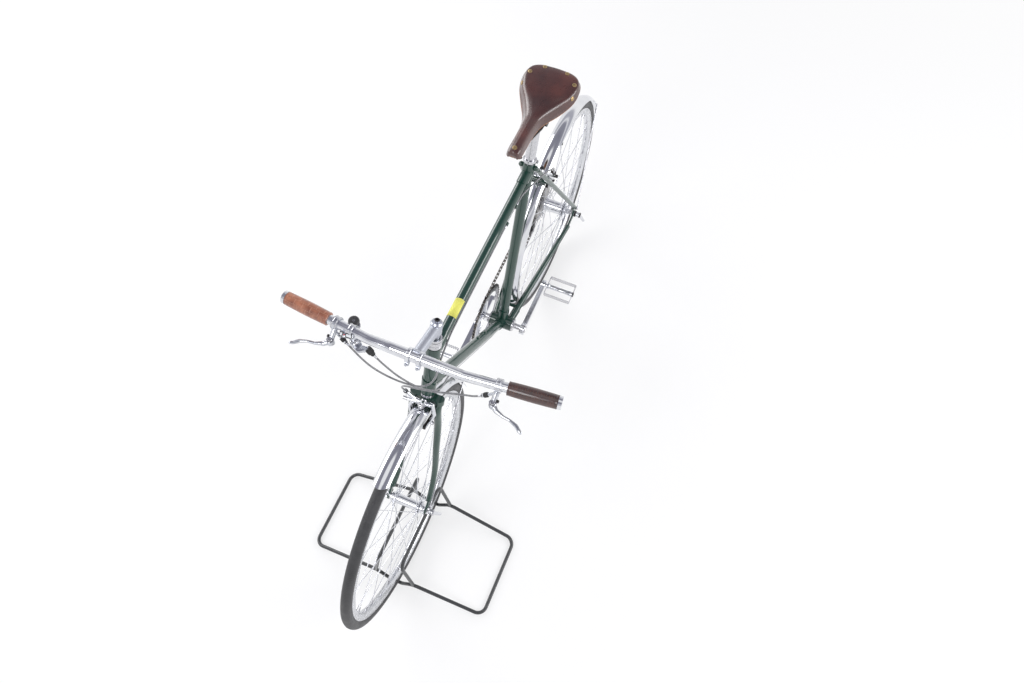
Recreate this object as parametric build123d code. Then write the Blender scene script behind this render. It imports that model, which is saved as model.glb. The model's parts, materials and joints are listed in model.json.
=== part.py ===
from build123d import *
import os
from math import asin, atan2, cos, degrees, hypot, pi, radians, sin, sqrt, tan

# City bicycle in its wire wheel stand. Millimetres. +X is forward, +Y the rider's left and +Z up.
# The origin is on the ground, in the centre plane, midway between the two axles.

# ---------------------------------------------------------------- driving dimensions
# wheels
wheel_radius = 339.0            # axle to tread
tyre_section = 28.0             # width of the tyre
tyre_seat = 3.0                 # how far the tyre's bead sits below the rim's edge
rim_height = 21.0
rim_width = 21.0
rim_bed = 6.0                   # slope of the rim's inner side
rim_flat = 4.0                  # half width of the rim's innermost face
spoke_radius = 1.0
spoke_count = 32
spoke_cross = 66.0              # degrees between a spoke's two ends
spoke_face = 1.6                # middle of a flange to a spoke's head
flange_rim = 3.5                # flange's edge to its spoke holes
front_flange = 33.0             # centre plane to a hub flange
front_flange_radius = 20.0
front_barrel_radius = 13.0
front_locknut = 44.0
rear_flange_left = 34.0
rear_flange_right = 22.0
rear_flange_radius = 27.0
rear_barrel_radius = 19.0
rear_locknut_left = 46.0
rear_locknut_right = 64.0
flange_thickness = 4.0
axle_radius = 4.5
locknut_radius = 8.0
axle_play = 0.6                 # hub's end to the locknut
release_height = 17.0           # dropout to the quick release lever
release_radius = 4.5
release_reach = Vector(-14, 11, -38)

# frame
wheelbase = 1040.0
bracket_drop = 70.0             # bottom bracket below the axles
chainstay_length = 414.0
seat_angle = 73.5
seat_tube_length = 570.0        # bracket centre to the top of the seat lug
top_tube_drop = 26.6            # top of the seat lug down to the top tube's centreline
head_angle = 69.5
fork_rake = 45.0
fork_length = 367.0             # along the steering axis, abreast of the axle to the crown's top
lower_stack = 11.5              # crown top to head tube bottom
head_above_tube = 27.7          # top tube's centreline to the head tube's top
down_tube_rise = 26.0           # head tube's bottom to the down tube's centreline
upper_stack = 26.0              # head tube top to the locknut's top
head_tube_radius = 15.9
head_lug_upper = 36.0
head_lug_lower = 44.0
steerer_radius = 12.7
steerer_room = 1.2              # between the steerer and the head tube's bore
top_tube_radius = 12.7
main_tube_radius = 14.3         # seat tube and down tube
lug_wall = 2.0
lug_notch = 15.0                # depth of the cut between a lug's two points
notch_spread = 0.75             # share of the lug's radius between a point and the middle
lug_insert = 26.0               # how far a tube goes into its lug
top_lug_length = 54.0
down_lug_length = 62.0
seat_lug_length = 52.0
seat_tube_lug = 50.0            # top tube's lug at the seat tube
shell_radius = 20.0             # bottom bracket shell
shell_width = 68.0
shell_lug_length = 52.0
shell_stay_length = 38.0
chainstay_radius = 9.8
stay_lug_wall = 1.6
stay_insert = 18.0
stay_end_radius = 6.5
stay_spread = 22.0              # centre plane to a chainstay's root
seatstay_radius = 7.0
seatstay_spread = 19.5
bridge_place = 0.655            # share of the seatstay up to the brake bridge
bridge_radius = 6.0
lower_bridge_radius = 5.0
lower_bridge_place = 46.0       # along the chainstay
boss_places = (190.0, 254.0)    # bottle bosses, along the down tube from the bracket
boss_radius = 5.0
boss_hole = 2.5
boss_height = 2.5
boss_depth = 10.5
front_hub_width = 100.0         # between the fork ends
rear_hub_width = 135.0          # between the rear dropouts
dropout_thickness = 5.0
dropout_radius = 14.0
dropout_arm = 7.0               # half width of the arms that join the stays
fork_end_radius = 11.0
slot_depth = 20.0
eyelet_radius = 6.0
eyelet_hole = 2.6
eyelet_back = 12.0              # rear eyelet behind and above the axle
hanger_back = 12.5              # axle to the derailleur's bolt
hanger_drop = 28.0
hanger_radius = 6.5
hanger_bolt = 4.5
fork_eyelet = 13.0
ear_radius = 6.0                # seat lug's binder
ear_half_width = 11.0
ear_back = 7.0
ear_drop = 14.0
binder_slot = 1.2               # half width of the seat lug's slot

# fork and headset
crown_height = 14.5
crown_half_depth = 12.0
crown_lip = 0.5
blade_top_side = 31.0
blade_top_depth = 11.5
blade_top_width = 9.3
blade_foot_depth = 7.0
blade_foot_width = 6.5
blade_lap = 6.0                 # blade's foot over the fork end
blade_shares = (1.0, 0.82, 0.62, 0.45, 0.34, 0.24, 0.15, 0.07)
rake_start = 135.0              # along the steering axis
rake_bend = 205.0
race_radius = 16.5
cup_height = 8.0
lower_cup_height = 7.0
cup_radius = 17.5
nut_height = 10.0
nut_radius = 17.0
washer_height = 2.0
washer_radius = 15.0
quill_radius = 11.1
quill_insert = 70.0
quill_room = 75.0               # depth of the steerer's bore

# stem, handlebar and controls
stem_rise = 28.0                # locknut's top to the bar clamp's height
stem_reach = 106.5
stem_collar_radius = 14.0
stem_root_radius = 13.0
stem_end_radius = 12.0
stem_head_height = 14.0
stem_cap = 4.0
stem_bolt_radius = 6.5
clamp_wall = 4.0
clamp_half_width = 17.0
clamp_band = 8.0                # width of each of the clamp's two bands
clamp_screw_radius = 3.2
bar_half_width = 322.0
bar_centre_radius = 12.7
bar_end_radius = 11.1
bar_bulge = 55.0                # half length of the thick middle
bar_bend = 110.0                # where the backsweep begins
bar_sweep = 5.6                 # degrees
grip_length = 107.0
grip_radius = 16.0
grip_swell = 0.8
cap_length = 8.0
lever_gap = 19.0                # grip's inner end to the lever's clamp
shifter_gap = 38.0              # lever's clamp to the shifter's clamp
band_wall = 4.0
band_half_width = 7.0
lever_neck = 7.0
lever_boss = 8.5
lever_pivot = Vector(35, 0, -22)        # from the bar's centre at the clamp, as are the points below
lever_blade = ((Vector(35, 0, -22), 7.5), (Vector(45, 12, -24), 5.5), (Vector(51, 30, -25), 3.6),
               (Vector(53, 46, -25), 3.2), (Vector(59, 62, -25), 4.4), (Vector(68, 73, -24), 4.2),
               (Vector(72, 77, -21), 3.0))
adjuster_root = Vector(14, -4, -14)
adjuster_tip = Vector(21.7, -28.6, -29.1)
adjuster_way = Vector(0.256, -0.82, -0.512).normalized()
adjuster_knob = 14.0
adjuster_radius = 4.5
shifter_hub = Vector(12, -12, -22)
shifter_radius = 12.0
shifter_height = 13.0
shifter_pod = ((Vector(4, 18, -12), 9.0), (Vector(6, -6, -12), 9.5))
shifter_arm = ((Vector(0, 0, -2), 11.0), (Vector(10, -13, -4), 9.0), (Vector(3, -31, -6), 6.0))
shifter_tip = Vector(17.4, -55, -39.2)
shifter_way = Vector(0.1, -0.65, -0.75).normalized()
arm_slab = 60.0
paddle_foot = Vector(0, 2, -14)
paddle_place = Vector(-21, 7, -5)
paddle_arm = 4.0
paddle_height = 8.0
paddle_radius = 9.0

# drivetrain
crank_length = 170.0
crank_inner = 61.0              # centre plane to the inner face of a crank arm
crank_thickness = 13.0
crank_boss_radius = 18.0
crank_arm_half = 9.0
crank_eye_radius = 13.0
spindle_radius = 8.5
spindle_insert = 8.0
bearing_cup_radius = 17.0
bearing_cup_depth = 18.0
bearing_flange_radius = 19.0
bearing_flange = 4.0
flange_recess = 10.0
chainline = 52.0
chain_pitch = 12.7
ring_teeth = 48
ring_thickness = 3.0
ring_depth = 20.0               # pitch circle to the ring's inner edge
tooth_form = ((-0.30, -2.8), (-0.10, 3.4), (0.10, 3.4), (0.30, -2.8))
spider_arms = 5
spider_turn = 18.0
spider_half = 6.5
bolt_circle = 65.0
chain_sprocket = 2              # which sprocket, counted from the outside, carries the chain
sprocket_teeth = [12, 14, 16, 18, 21, 24, 28]
sprocket_spacing = 4.8
sprocket_thickness = 1.8
freehub_radius = 15.0
spacer_wall = 4.0
link_half_height = 4.2
link_thickness = 1.5
link_inner = 1.8                # chainline to the inner face of a link plate
roller_radius = 3.4
chain_rollers = 11
pulley_radius = 20.0            # chain's path round a pulley
pulley_disc = 17.5
guide_back = 9.0                # guide pulley from the rear axle
guide_drop = 58.5
tension_back = 36.0
tension_drop = 110.0
cage_half = 9.0
cage_room = 0.9                 # link plate to the cage
pulley_bolt = 3.5
pulley_half = 1.2
link_boss = 16.0                # derailleur's boss at the hanger
link_ahead = 6.0
link_reach = 17.0
link_width = 6.5
gear_entry = Vector(-20, -80, -81)      # rear axle to where the gear cable ends
pedal_length = 84.0
pedal_width = 66.0
pedal_height = 18.0
pedal_plate = 2.5
pedal_barrel = 10.5
pedal_spindle = 6.0

# guards
guard_radius = 350.0
guard_half_width = 19.5
guard_thickness = 1.2
guard_bow = 27.0                # radius of the guard's cross-section
front_guard_angles = (-14.0, 82.0)      # degrees behind the top of the wheel
rear_guard_angles = (-100.0, 72.0)
front_stay_angle = 66.0
rear_stay_angle = 60.0
guard_wire = 2.0
wire_boss = 3.2
upper_stud = 3.5
crown_stud = 4.0

# brakes
pad_length = 50.0
pad_height = 9.0
pad_thickness = 7.0
pad_below_edge = 8.0            # rim's edge to the middle of the braking track
caliper_half = 31.0
caliper_wire = 5.0
pivot_reach = 24.0              # steering axis to the front caliper's pivot
pivot_drop = 7.0                # crown top to the front caliper's pivot
rear_pivot_reach = 18.0
cable_arm = 42.0
cable_arm_rise = 22.0
caliper_bolt = 12.0
caliper_boss = 9.0
caliper_shoulder = 24.0
elbow_share = 0.45              # of the arm's drop, down to its elbow
feed_way = Vector(0.287, 0, 0.958).normalized()
feed_length = 14.0

# seat
seatpost_radius = 13.5
post_length = 114.0             # seat lug's top to the post's top
post_insert = 120.0
post_ring = 4.0
ring_gap = 6.0                  # seat lug's top to the post's ring
ring_height = 7.0
saddle_reach = 154.0            # post's top to the saddle's nose
saddle_length = 290.0
saddle_height = 60.0            # post's top to the saddle's crown
leather = 5.0                   # thickness
crown_fall = 0.14               # of the half width, from the ridge to the shoulder
hollow_below = 6.0
saddle_stations = (             # share from the nose, half width, rise, drop of the skirt, its half width
    (0.00, 10, -6, 14, 10),
    (0.04, 20, -2, 26, 22),
    (0.15, 20, 0, 34, 25),
    (0.35, 24, -2, 46, 34),
    (0.50, 34, -3, 52, 48),
    (0.65, 54, -1, 48, 66),
    (0.80, 68, 2, 30, 74),
    (0.92, 62, 3, 16, 65),
    (1.00, 30, 2, 8, 32))
rail_radius = 3.5
rail_half_gap = 22.0
rail_drop = 48.0                # saddle's crown to the rails
rail_spread = 38.0              # the rails' rear ends from the centre plane
rail_rear_drop = 15.0
rail_rear_run = 50.0
rail_front_drop = 18.0
rail_front_run = 130.0
rail_bend = 60.0
clamp_radius = 11.0
clamp_half = 29.0
cantle_depth = 16.0
cantle_length = 16.0

# stand
wire_radius = 5.0
stand_offset = 14.0             # stand's centre ahead of the front axle
stand_half_length = 125.0
stand_reach = 265.0             # centre plane to the outer bars
stand_taper = 8.0
stand_neck = 57.0
stand_neck_height = 60.0
stand_dip_side = 18.0
hoop_height = 212.0
hoop_half_width = 32.5
hoop_lean = 3.0
stand_bend = 26.0
dip_bend = 12.0

# cables
cable_radius = 2.5
inner_wire = 0.8
ferrule_radius = 3.0
ferrule_length = 10.0
stop_radius = 4.6
stop_length = 8.0
front_stop_place = -97.0        # along the top tube, from the middle between the wheels
rear_stop_place = -155.0
gear_stop_reach = 120.0         # along the down tube from the head tube
gear_stop_drop = 4.5
stay_stop_reach = 262.0         # along the chainstay
stay_stop_side = Vector(0, -6.4, -8.6)
lead = 18.0                     # straight run out of an adjuster or a stop
feed_run = 22.0
front_brake_route = (           # from the bar's centre
    (20, 124, -45), (24, 97, -53), (30, 66, -61), (35, 36, -66), (37, 10, -71), (35, -12, -84),
    (28, -28, -112), (18, -37, -146))
rear_brake_route = (            # from the bar's centre
    (19.5, -130, -61), (18.5, -109, -93), (15.5, -88, -114), (13.5, -66, -126), (11.5, -43, -133),
    (8.5, -20, -136), (4.5, 1, -136), (-4, 16, -135), (-17.5, 24, -134), (-34.5, 26, -131),
    (-56.5, 21.5, -128), (-84.5, 17, -127), (-122, 13.5, -127))
rear_tail_route = (             # from the rear stop's back
    (-32, 0, 0), (-62, 8.5, 0), (-92, 18, 0.5), (-125, 27, -3), (-155, 34, -17), (-177, 34, -37))
gear_route = (                  # from the bar's centre
    (12.5, -70, -78), (9.5, -52, -108), (5.5, -34, -130), (1.5, -16, -148), (-4.5, 1, -164),
    (-12.5, 15, -177), (-24.5, 25.5, -192), (-40.5, 29.5, -209), (-61.5, 26.5, -228), (-85.5, 21, -252))
gear_under_shell = ((10, 4, -22.5), (-10, -6, -21.5), (-70.7, -30, 2.5))       # from the bracket
gear_loop_route = (             # from the rear axle
    (84, -75, -24), (54, -85, -20), (22, -93, -16), (-10, -98, -13.5), (-42, -99, -13), (-60, -94, -26),
    (-67, -88, -47), (-60, -83, -68), (-42, -80, -81))

# clearances
fit = 0.1                       # running clearance of a shaft in its bore
seat = 0.3                      # gap left between seated pieces
braze = 0.05                    # gap left between brazed or pressed pieces
clear = 5.0                     # room round moving pieces

# ---------------------------------------------------------------- places that follow from them
rear_axle = Vector(-wheelbase / 2, 0, wheel_radius)
front_axle = Vector(wheelbase / 2, 0, wheel_radius)
bracket = rear_axle + Vector(sqrt(chainstay_length ** 2 - bracket_drop ** 2), 0, -bracket_drop)
seat_direction = Vector(-cos(radians(seat_angle)), 0, sin(radians(seat_angle)))
seat_top = bracket + seat_direction * seat_tube_length
top_tube_rear = seat_top - seat_direction * top_tube_drop
head_up = Vector(-cos(radians(head_angle)), 0, sin(radians(head_angle)))
head_forward = Vector(sin(radians(head_angle)), 0, cos(radians(head_angle)))
steer_origin = front_axle - head_forward * fork_rake
steer = Plane(origin=steer_origin, x_dir=head_forward, z_dir=head_up)
top_tube_rise = (top_tube_rear.Z - steer_origin.Z) / head_up.Z
top_tube_front = steer_origin + head_up * top_tube_rise
head_bottom = fork_length + lower_stack
head_top = top_tube_rise + head_above_tube
head_bore = steerer_radius + steerer_room
steerer_top = head_top + upper_stack
stem_height = steerer_top + stem_rise
bar_centre = steer.from_local_coords(Vector(stem_reach, 0, stem_height))
sweep_way = Vector(-sin(radians(bar_sweep)), cos(radians(bar_sweep)), 0.009).normalized()
grip_inner = bar_half_width - cap_length - grip_length
lever_place = grip_inner - lever_gap
shifter_place = lever_place - shifter_gap
down_tube_top = steer_origin + head_up * (head_bottom + down_tube_rise)
down_direction = (bracket - down_tube_top).normalized()
down_normal = Vector(down_direction.Z, 0, -down_direction.X)
ahead = Vector(1, 0, 0)
across = Vector(0, 1, 0)
stay_root = bracket + Vector(-12, stay_spread, 4)
stay_tip = rear_axle + Vector(46, rear_hub_width / 2 + dropout_thickness / 2, -8)
stay_direction = (stay_tip - stay_root).normalized()
seatstay_top = seat_top + Vector(5, seatstay_spread, -8)
seatstay_foot = rear_axle + Vector(8, rear_hub_width / 2 + dropout_thickness / 2, 44)
stay_line = seatstay_top - seatstay_foot
bridge_middle = seatstay_foot + stay_line * bridge_place
bridge_middle = Vector(bridge_middle.X, 0, bridge_middle.Z)
rear_up = Vector(stay_line.X, 0, stay_line.Z).normalized()
rear_out = Vector(-rear_up.Z, 0, rear_up.X)
rear_pivot = bridge_middle + rear_out * rear_pivot_reach
front_pivot = steer.from_local_coords(Vector(pivot_reach, 0, fork_length - pivot_drop))
hanger_place = rear_axle + Vector(-hanger_back, 0, -hanger_drop)
lower_bridge = stay_root + stay_direction * lower_bridge_place
crown_bottom = fork_length - crown_height
blade_foot_side = front_hub_width / 2 + dropout_thickness / 2
rim_outer = wheel_radius - tyre_section + tyre_seat
rim_inner = rim_outer - rim_height
pad_radius = rim_outer - pad_below_edge
pad_side = rim_width / 2 + clear + pad_thickness / 2
guard_edge = guard_radius - guard_bow + sqrt(guard_bow ** 2 - guard_half_width ** 2)
crank_outer = crank_inner + crank_thickness
pedal_inner = crank_outer + clear
spindle_reach = crank_inner + spindle_insert
ring_radius = chain_pitch / (2 * sin(pi / ring_teeth))
sprocket_radius = chain_pitch / (2 * sin(pi / sprocket_teeth[chain_sprocket]))
outermost_sprocket = -chainline - chain_sprocket * sprocket_spacing
guide_pulley = rear_axle + Vector(guide_back, 0, -guide_drop)
tension_pulley = rear_axle + Vector(tension_back, 0, -tension_drop)
post_top = seat_top + seat_direction * post_length
saddle_nose = post_top.X + saddle_reach
saddle_rear = saddle_nose - saddle_length
saddle_top = post_top.Z + saddle_height
rail_height = saddle_top - rail_drop
stand_centre = front_axle.X + stand_offset
adjuster_end = bar_centre + across * bar_bend + sweep_way * ((lever_place - bar_bend) / sweep_way.Y)
adjuster_end += adjuster_tip
shifter_end = bar_centre + across * bar_bend + sweep_way * ((shifter_place - bar_bend) / sweep_way.Y)
shifter_end += shifter_tip
tube_side = (top_tube_radius + ferrule_radius + seat) / sqrt(2)
front_stop = Vector(front_stop_place, tube_side, top_tube_rear.Z - tube_side)
rear_stop = Vector(rear_stop_place, tube_side, top_tube_rear.Z - tube_side)
gear_side = sqrt((main_tube_radius + ferrule_radius + seat) ** 2 - gear_stop_drop ** 2)
gear_stop = down_tube_top + down_direction * gear_stop_reach + across * gear_side
gear_stop -= down_normal * gear_stop_drop
gear_run = Vector(stay_direction.X, -stay_direction.Y, stay_direction.Z)
stay_stop = Vector(stay_root.X, -stay_root.Y, stay_root.Z) + gear_run * stay_stop_reach + stay_stop_side
gear_end = rear_axle + gear_entry


# ---------------------------------------------------------------- helpers
def rod(start, end, radius, end_radius=None):
    """A round bar, or a cone where it has a second radius, from one point to another."""
    start = Vector(start)
    end = Vector(end)
    plane = Plane(origin=start, z_dir=end - start)
    length = (end - start).length
    low = (Align.CENTER, Align.CENTER, Align.MIN)
    if end_radius in (None, radius):
        return plane * Cylinder(radius, length, align=low)
    return plane * Cone(radius, end_radius, length, align=low)


def tube(start, end, radius, bore):
    """A round bar with a bore right through."""
    start = Vector(start)
    end = Vector(end)
    past = (end - start).normalized()
    return rod(start, end, radius) - rod(start - past, end + past, bore)


def ball(centre, radius):
    return Pos(*Vector(centre)) * Sphere(radius)


def block(low, high):
    """A box between two corners."""
    size = [high[i] - low[i] for i in range(3)]
    middle = [(high[i] + low[i]) / 2 for i in range(3)]
    return Pos(*middle) * Box(*size)


def limb(stations):
    """A rounded arm through (centre, radius) stations, thicker and thinner as it goes."""
    body = ball(*stations[0])
    for (start, radius), (end, end_radius) in zip(stations, stations[1:]):
        body += rod(start, end, radius, end_radius)
        body += ball(end, end_radius)
    return body


def wheel_ring(points, axle):
    """Turns a closed outline of (radius, side) points round the wheel's axle."""
    outline = make_face(Polyline(*points, close=True).edges())
    return Pos(*axle) * revolve(outline, Axis.Y, 360)


def around(axle, radius, angle, side=0.0):
    """A point at a radius from the axle and an angle behind the top of the wheel."""
    turn = radians(angle)
    return axle + Vector(-radius * sin(turn), side, radius * cos(turn))


def bend_radii(points, share=0.45):
    """Largest tangent arcs that the runs of a route allow."""
    radii = []
    for before, corner, after in zip(points, points[1:], points[2:]):
        first = Vector(corner) - Vector(before)
        second = Vector(after) - Vector(corner)
        turn = radians(first.get_angle(second))
        radii.append(share * min(first.length, second.length) / tan(turn / 2))
    return radii


def bent(points, radius, radii=None, close=False):
    """A round wire along straight runs joined by arcs."""
    radii = radii or bend_radii(points)
    path = FilletPolyline(*points, radius=radii, close=close)
    plane = Plane(origin=path @ 0, z_dir=path % 0)
    return sweep(plane * Circle(radius), path=path)


def mirrored(shape):
    """The same piece on the other side of the centre plane."""
    return mirror(shape, Plane.XZ)


def flipped(point):
    """The same point on the other side of the centre plane."""
    return Vector(point.X, -point.Y, point.Z)


def both_sides(shape):
    return Compound(children=[shape.solid(), mirrored(shape).solid()])


def bar_plate(start, end, radius, inner, outer):
    """A flat bar with round ends, lying across the bicycle between two sides."""
    start = Vector(start.X, inner, start.Z)
    end = Vector(end.X, inner, end.Z)
    through = across * (outer - inner)
    span = (end - start).length
    plane = Plane(origin=(start + end) * 0.5, x_dir=end - start, z_dir=(0, 1, 0))
    web = plane * extrude(Rectangle(span, 2 * radius), amount=outer - inner)
    return web + rod(start, start + through, radius) + rod(end, end + through, radius)


def notched(root, way, reach, outer):
    """A lug's sleeve whose end is cut back at both sides, to a point above and a point below."""
    end = root + way * reach
    past = end + way
    side = Vector(-way.Z, 0, way.X) * (outer * notch_spread)
    corners = [end - way * lug_notch, past + side, past - side]
    outline = make_face(Polyline(*corners, close=True).edges())
    wedge = extrude(outline, amount=2 * outer, dir=(0, 1, 0), both=True)
    return rod(root, end, outer) - wedge


def lug_bore(root, way, reach, radius):
    """The bore in a lug's end that its tube goes into."""
    return rod(root + way * (reach - lug_insert), root + way * (reach + 1), radius + braze)


def lug_seat(root, way, reach):
    """Where a tube begins inside its lug."""
    return root + way * (reach - lug_insert + braze)


# ---------------------------------------------------------------- frame
def head_tube():
    """Head tube with its two pointed lugs, bored for the steerer."""
    collar = head_tube_radius + lug_wall
    body = rod((0, 0, head_bottom), (0, 0, head_top), head_tube_radius)
    body += rod((0, 0, head_top - head_lug_upper), (0, 0, head_top - lug_wall), collar)
    body += rod((0, 0, head_bottom + lug_wall), (0, 0, head_bottom + head_lug_lower), collar)
    body = steer * body
    body += notched(top_tube_front, -ahead, top_lug_length, top_tube_radius + lug_wall)
    body += notched(down_tube_top, down_direction, down_lug_length, main_tube_radius + lug_wall)
    body -= lug_bore(top_tube_front, -ahead, top_lug_length, top_tube_radius)
    body -= lug_bore(down_tube_top, down_direction, down_lug_length, main_tube_radius)
    return body - steer * rod((0, 0, head_bottom - 1), (0, 0, head_top + 1), head_bore)


def cable_stop(place, way):
    """Short bored stop in which a housing ends and the inner wire goes on."""
    return tube(place, place + way * stop_length, stop_radius, inner_wire + seat)


def top_tube():
    """Top tube with the two stops of the rear brake's cable on its lower left."""
    body = rod(lug_seat(top_tube_front, -ahead, top_lug_length),
               lug_seat(top_tube_rear, ahead, seat_tube_lug), top_tube_radius)
    for place in (front_stop, rear_stop):
        body += cable_stop(place, -ahead)
    return body - rod(front_stop + ahead, rear_stop - ahead * (stop_length + 1), inner_wire + seat)


def down_tube():
    """Down tube with two threaded bottle bosses above and the gear cable's stop at its left."""
    body = rod(lug_seat(down_tube_top, down_direction, down_lug_length),
               lug_seat(bracket, -down_direction, shell_lug_length), main_tube_radius)
    for reach in boss_places:
        foot = bracket - down_direction * reach
        body += rod(foot, foot + down_normal * (main_tube_radius + boss_height), boss_radius)
    for reach in boss_places:
        foot = bracket - down_direction * reach
        floor = foot + down_normal * (main_tube_radius + boss_height - boss_depth)
        body -= rod(floor, foot + down_normal * (main_tube_radius + boss_height + 1), boss_hole)
    return body + cable_stop(gear_stop, down_direction)


def seat_tube():
    """Seat tube, reamed at its top for the seatpost."""
    low = lug_seat(bracket, seat_direction, shell_lug_length)
    high = lug_seat(seat_top, -seat_direction, seat_lug_length)
    floor = seat_top - seat_direction * (post_insert + clear)
    return rod(low, high, main_tube_radius) - rod(floor, seat_top, seatpost_radius + fit)


def seat_lug():
    """Seat lug with the top tube's sleeve, the slotted binder and its bolt."""
    outer = main_tube_radius + lug_wall
    body = notched(seat_top, -seat_direction, seat_lug_length, outer)
    body += notched(top_tube_rear, ahead, seat_tube_lug, top_tube_radius + lug_wall)
    ears = seat_top - Vector(main_tube_radius + ear_back, 0, ear_drop)
    body += rod(ears - across * ear_half_width, ears + across * ear_half_width, ear_radius)
    body += block((ears.X, -ear_half_width, ears.Z - ear_radius),
                  (ears.X + 2 * ear_radius, ear_half_width, ears.Z + ear_radius))
    body -= rod(seat_top - seat_direction * (seat_lug_length + 1), seat_top + seat_direction * clear,
                seatpost_radius + fit)
    body -= lug_bore(seat_top, -seat_direction, seat_lug_length, main_tube_radius)
    body -= lug_bore(top_tube_rear, ahead, seat_tube_lug, top_tube_radius)
    return body - block((ears.X - 2 * ear_radius, -binder_slot, ears.Z - 2 * ear_drop),
                        (seat_top.X - main_tube_radius / 2, binder_slot, seat_top.Z + main_tube_radius))


def bottom_bracket_shell():
    """Bracket shell with its lugs for the tubes and stays, bored for the bearing cups."""
    half = across * (shell_width / 2)
    body = rod(bracket - half, bracket + half, shell_radius)
    body += notched(bracket, seat_direction, shell_lug_length, main_tube_radius + lug_wall)
    body += notched(bracket, -down_direction, shell_lug_length, main_tube_radius + lug_wall)
    for root, way in ((stay_root, stay_direction), (flipped(stay_root), flipped(stay_direction))):
        body += rod(root, root + way * shell_stay_length, chainstay_radius + stay_lug_wall)
        body -= rod(root + way * (shell_stay_length - stay_insert), root + way * (shell_stay_length + 1),
                    chainstay_radius + braze)
    body -= lug_bore(bracket, seat_direction, shell_lug_length, main_tube_radius)
    body -= lug_bore(bracket, -down_direction, shell_lug_length, main_tube_radius)
    body -= rod(bracket - half - across, bracket + half + across, bearing_cup_radius)
    for face in (half, -half):
        body -= rod(bracket + face, bracket + face.normalized() * (face.length + flange_recess),
                    bearing_flange_radius + seat)
    return body


def bottom_bracket_cups():
    """The two bearing cups, screwed in from each side."""
    face = bracket + across * (shell_width / 2)
    cup = tube(face - across * bearing_cup_depth, face, bearing_cup_radius - braze, spindle_radius + fit)
    flange = tube(face, face + across * bearing_flange, bearing_flange_radius, spindle_radius + fit)
    return both_sides(cup + flange)


def chainstays():
    """Tapered chainstays, with the gear cable's stop under the right one."""
    start = stay_root + stay_direction * (shell_stay_length - stay_insert + braze)
    left = rod(start, stay_tip, chainstay_radius, stay_end_radius)
    right = mirrored(left) + cable_stop(stay_stop, gear_run)
    return Compound(children=[left.solid(), right.solid()])


def seatstays():
    """Seatstays with their rounded caps beside the seat lug."""
    body = rod(seatstay_top, seatstay_foot, seatstay_radius, stay_end_radius)
    body += ball(seatstay_top, seatstay_radius)
    lug = rod(seat_top - seat_direction * (2 * seat_lug_length), seat_top + seat_direction * seat_lug_length,
              main_tube_radius + lug_wall + braze)
    return both_sides(body - lug)


def rear_dropouts():
    """Forged dropouts with the axle slot and the guard's eyelet; the right one carries the hanger."""
    inner = rear_hub_width / 2
    outer = inner + dropout_thickness
    body = rod(rear_axle + across * inner, rear_axle + across * outer, dropout_radius)
    for tip in (stay_tip, seatstay_foot):
        body += bar_plate(tip, rear_axle, dropout_arm, inner, outer)
    eyelet = rear_axle + Vector(-eyelet_back, inner, eyelet_back)
    body += rod(eyelet, eyelet + across * dropout_thickness, eyelet_radius)
    body -= rod(eyelet - across, eyelet + across * (dropout_thickness + 1), eyelet_hole)
    body -= rod(rear_axle + across * (inner - 1), rear_axle + across * (outer + 1), axle_radius + fit)
    body -= block((rear_axle.X - axle_radius - fit, inner - 1, rear_axle.Z - slot_depth),
                  (rear_axle.X + axle_radius + fit, outer + 1, rear_axle.Z))
    for tip, far in ((stay_tip, stay_root), (seatstay_foot, seatstay_top)):
        body -= rod(tip, far, dropout_radius)
    root = rear_axle + Vector(hanger_back, 0, -dropout_arm)
    hanger = bar_plate(root, hanger_place, hanger_radius, -outer, -inner)
    hanger -= rod(hanger_place - across * (outer + 1), hanger_place - across * (inner - 1),
                  hanger_bolt + fit)
    return Compound(children=[body.solid(), (mirrored(body) + hanger).solid()])


def stay_bridges():
    """Brake bridge between the seatstays and the small one between the chainstays."""
    half = seatstay_foot.Y + stay_line.Y * bridge_place
    upper = rod(bridge_middle - across * half, bridge_middle + across * half, bridge_radius)
    lower = rod(flipped(lower_bridge), lower_bridge, lower_bridge_radius)
    for turn in (lambda point: point, flipped):
        upper -= rod(turn(seatstay_foot), turn(seatstay_top), stay_end_radius + braze, seatstay_radius + braze)
        start = stay_root + stay_direction * (shell_stay_length - stay_insert)
        lower -= rod(turn(start), turn(stay_tip), chainstay_radius + braze, stay_end_radius + braze)
    return Compound(children=[upper.solid(), lower.solid()])


def headset_cups():
    """Fixed bearing cups above and below the head tube."""
    upper = tube((0, 0, head_top), (0, 0, head_top + cup_height), cup_radius, head_bore)
    lower = tube((0, 0, head_bottom - lower_cup_height), (0, 0, head_bottom), cup_radius, head_bore)
    return Compound(children=[(steer * upper).solid(), (steer * lower).solid()])


# ---------------------------------------------------------------- fork and steering
def blade_centre(rise):
    """Centre of the left blade at a height along the steering axis: forward, side."""
    spread = (crown_bottom - rise) / crown_bottom
    side = blade_top_side + (blade_foot_side - blade_top_side) * spread
    if rise >= rake_start:
        return 0.0, side
    drop = rake_start - rise
    return rake_bend - sqrt(rake_bend ** 2 - drop ** 2), side


def fork():
    """Steerer and lugged crown."""
    body = rod((0, 0, crown_bottom), (0, 0, steerer_top), steerer_radius)
    body += rod((0, 0, fork_length - lug_wall), (0, 0, head_bottom - lower_cup_height - seat), race_radius)
    body += block((-crown_half_depth, -blade_top_side, crown_bottom),
                  (crown_half_depth, blade_top_side, fork_length))
    for side in (blade_top_side, -blade_top_side):
        body += rod((0, side, crown_bottom), (0, side, fork_length), crown_half_depth + crown_lip)
    body -= rod((0, 0, steerer_top - quill_room), (0, 0, steerer_top + 1), quill_radius + fit)
    return steer * body


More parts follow.
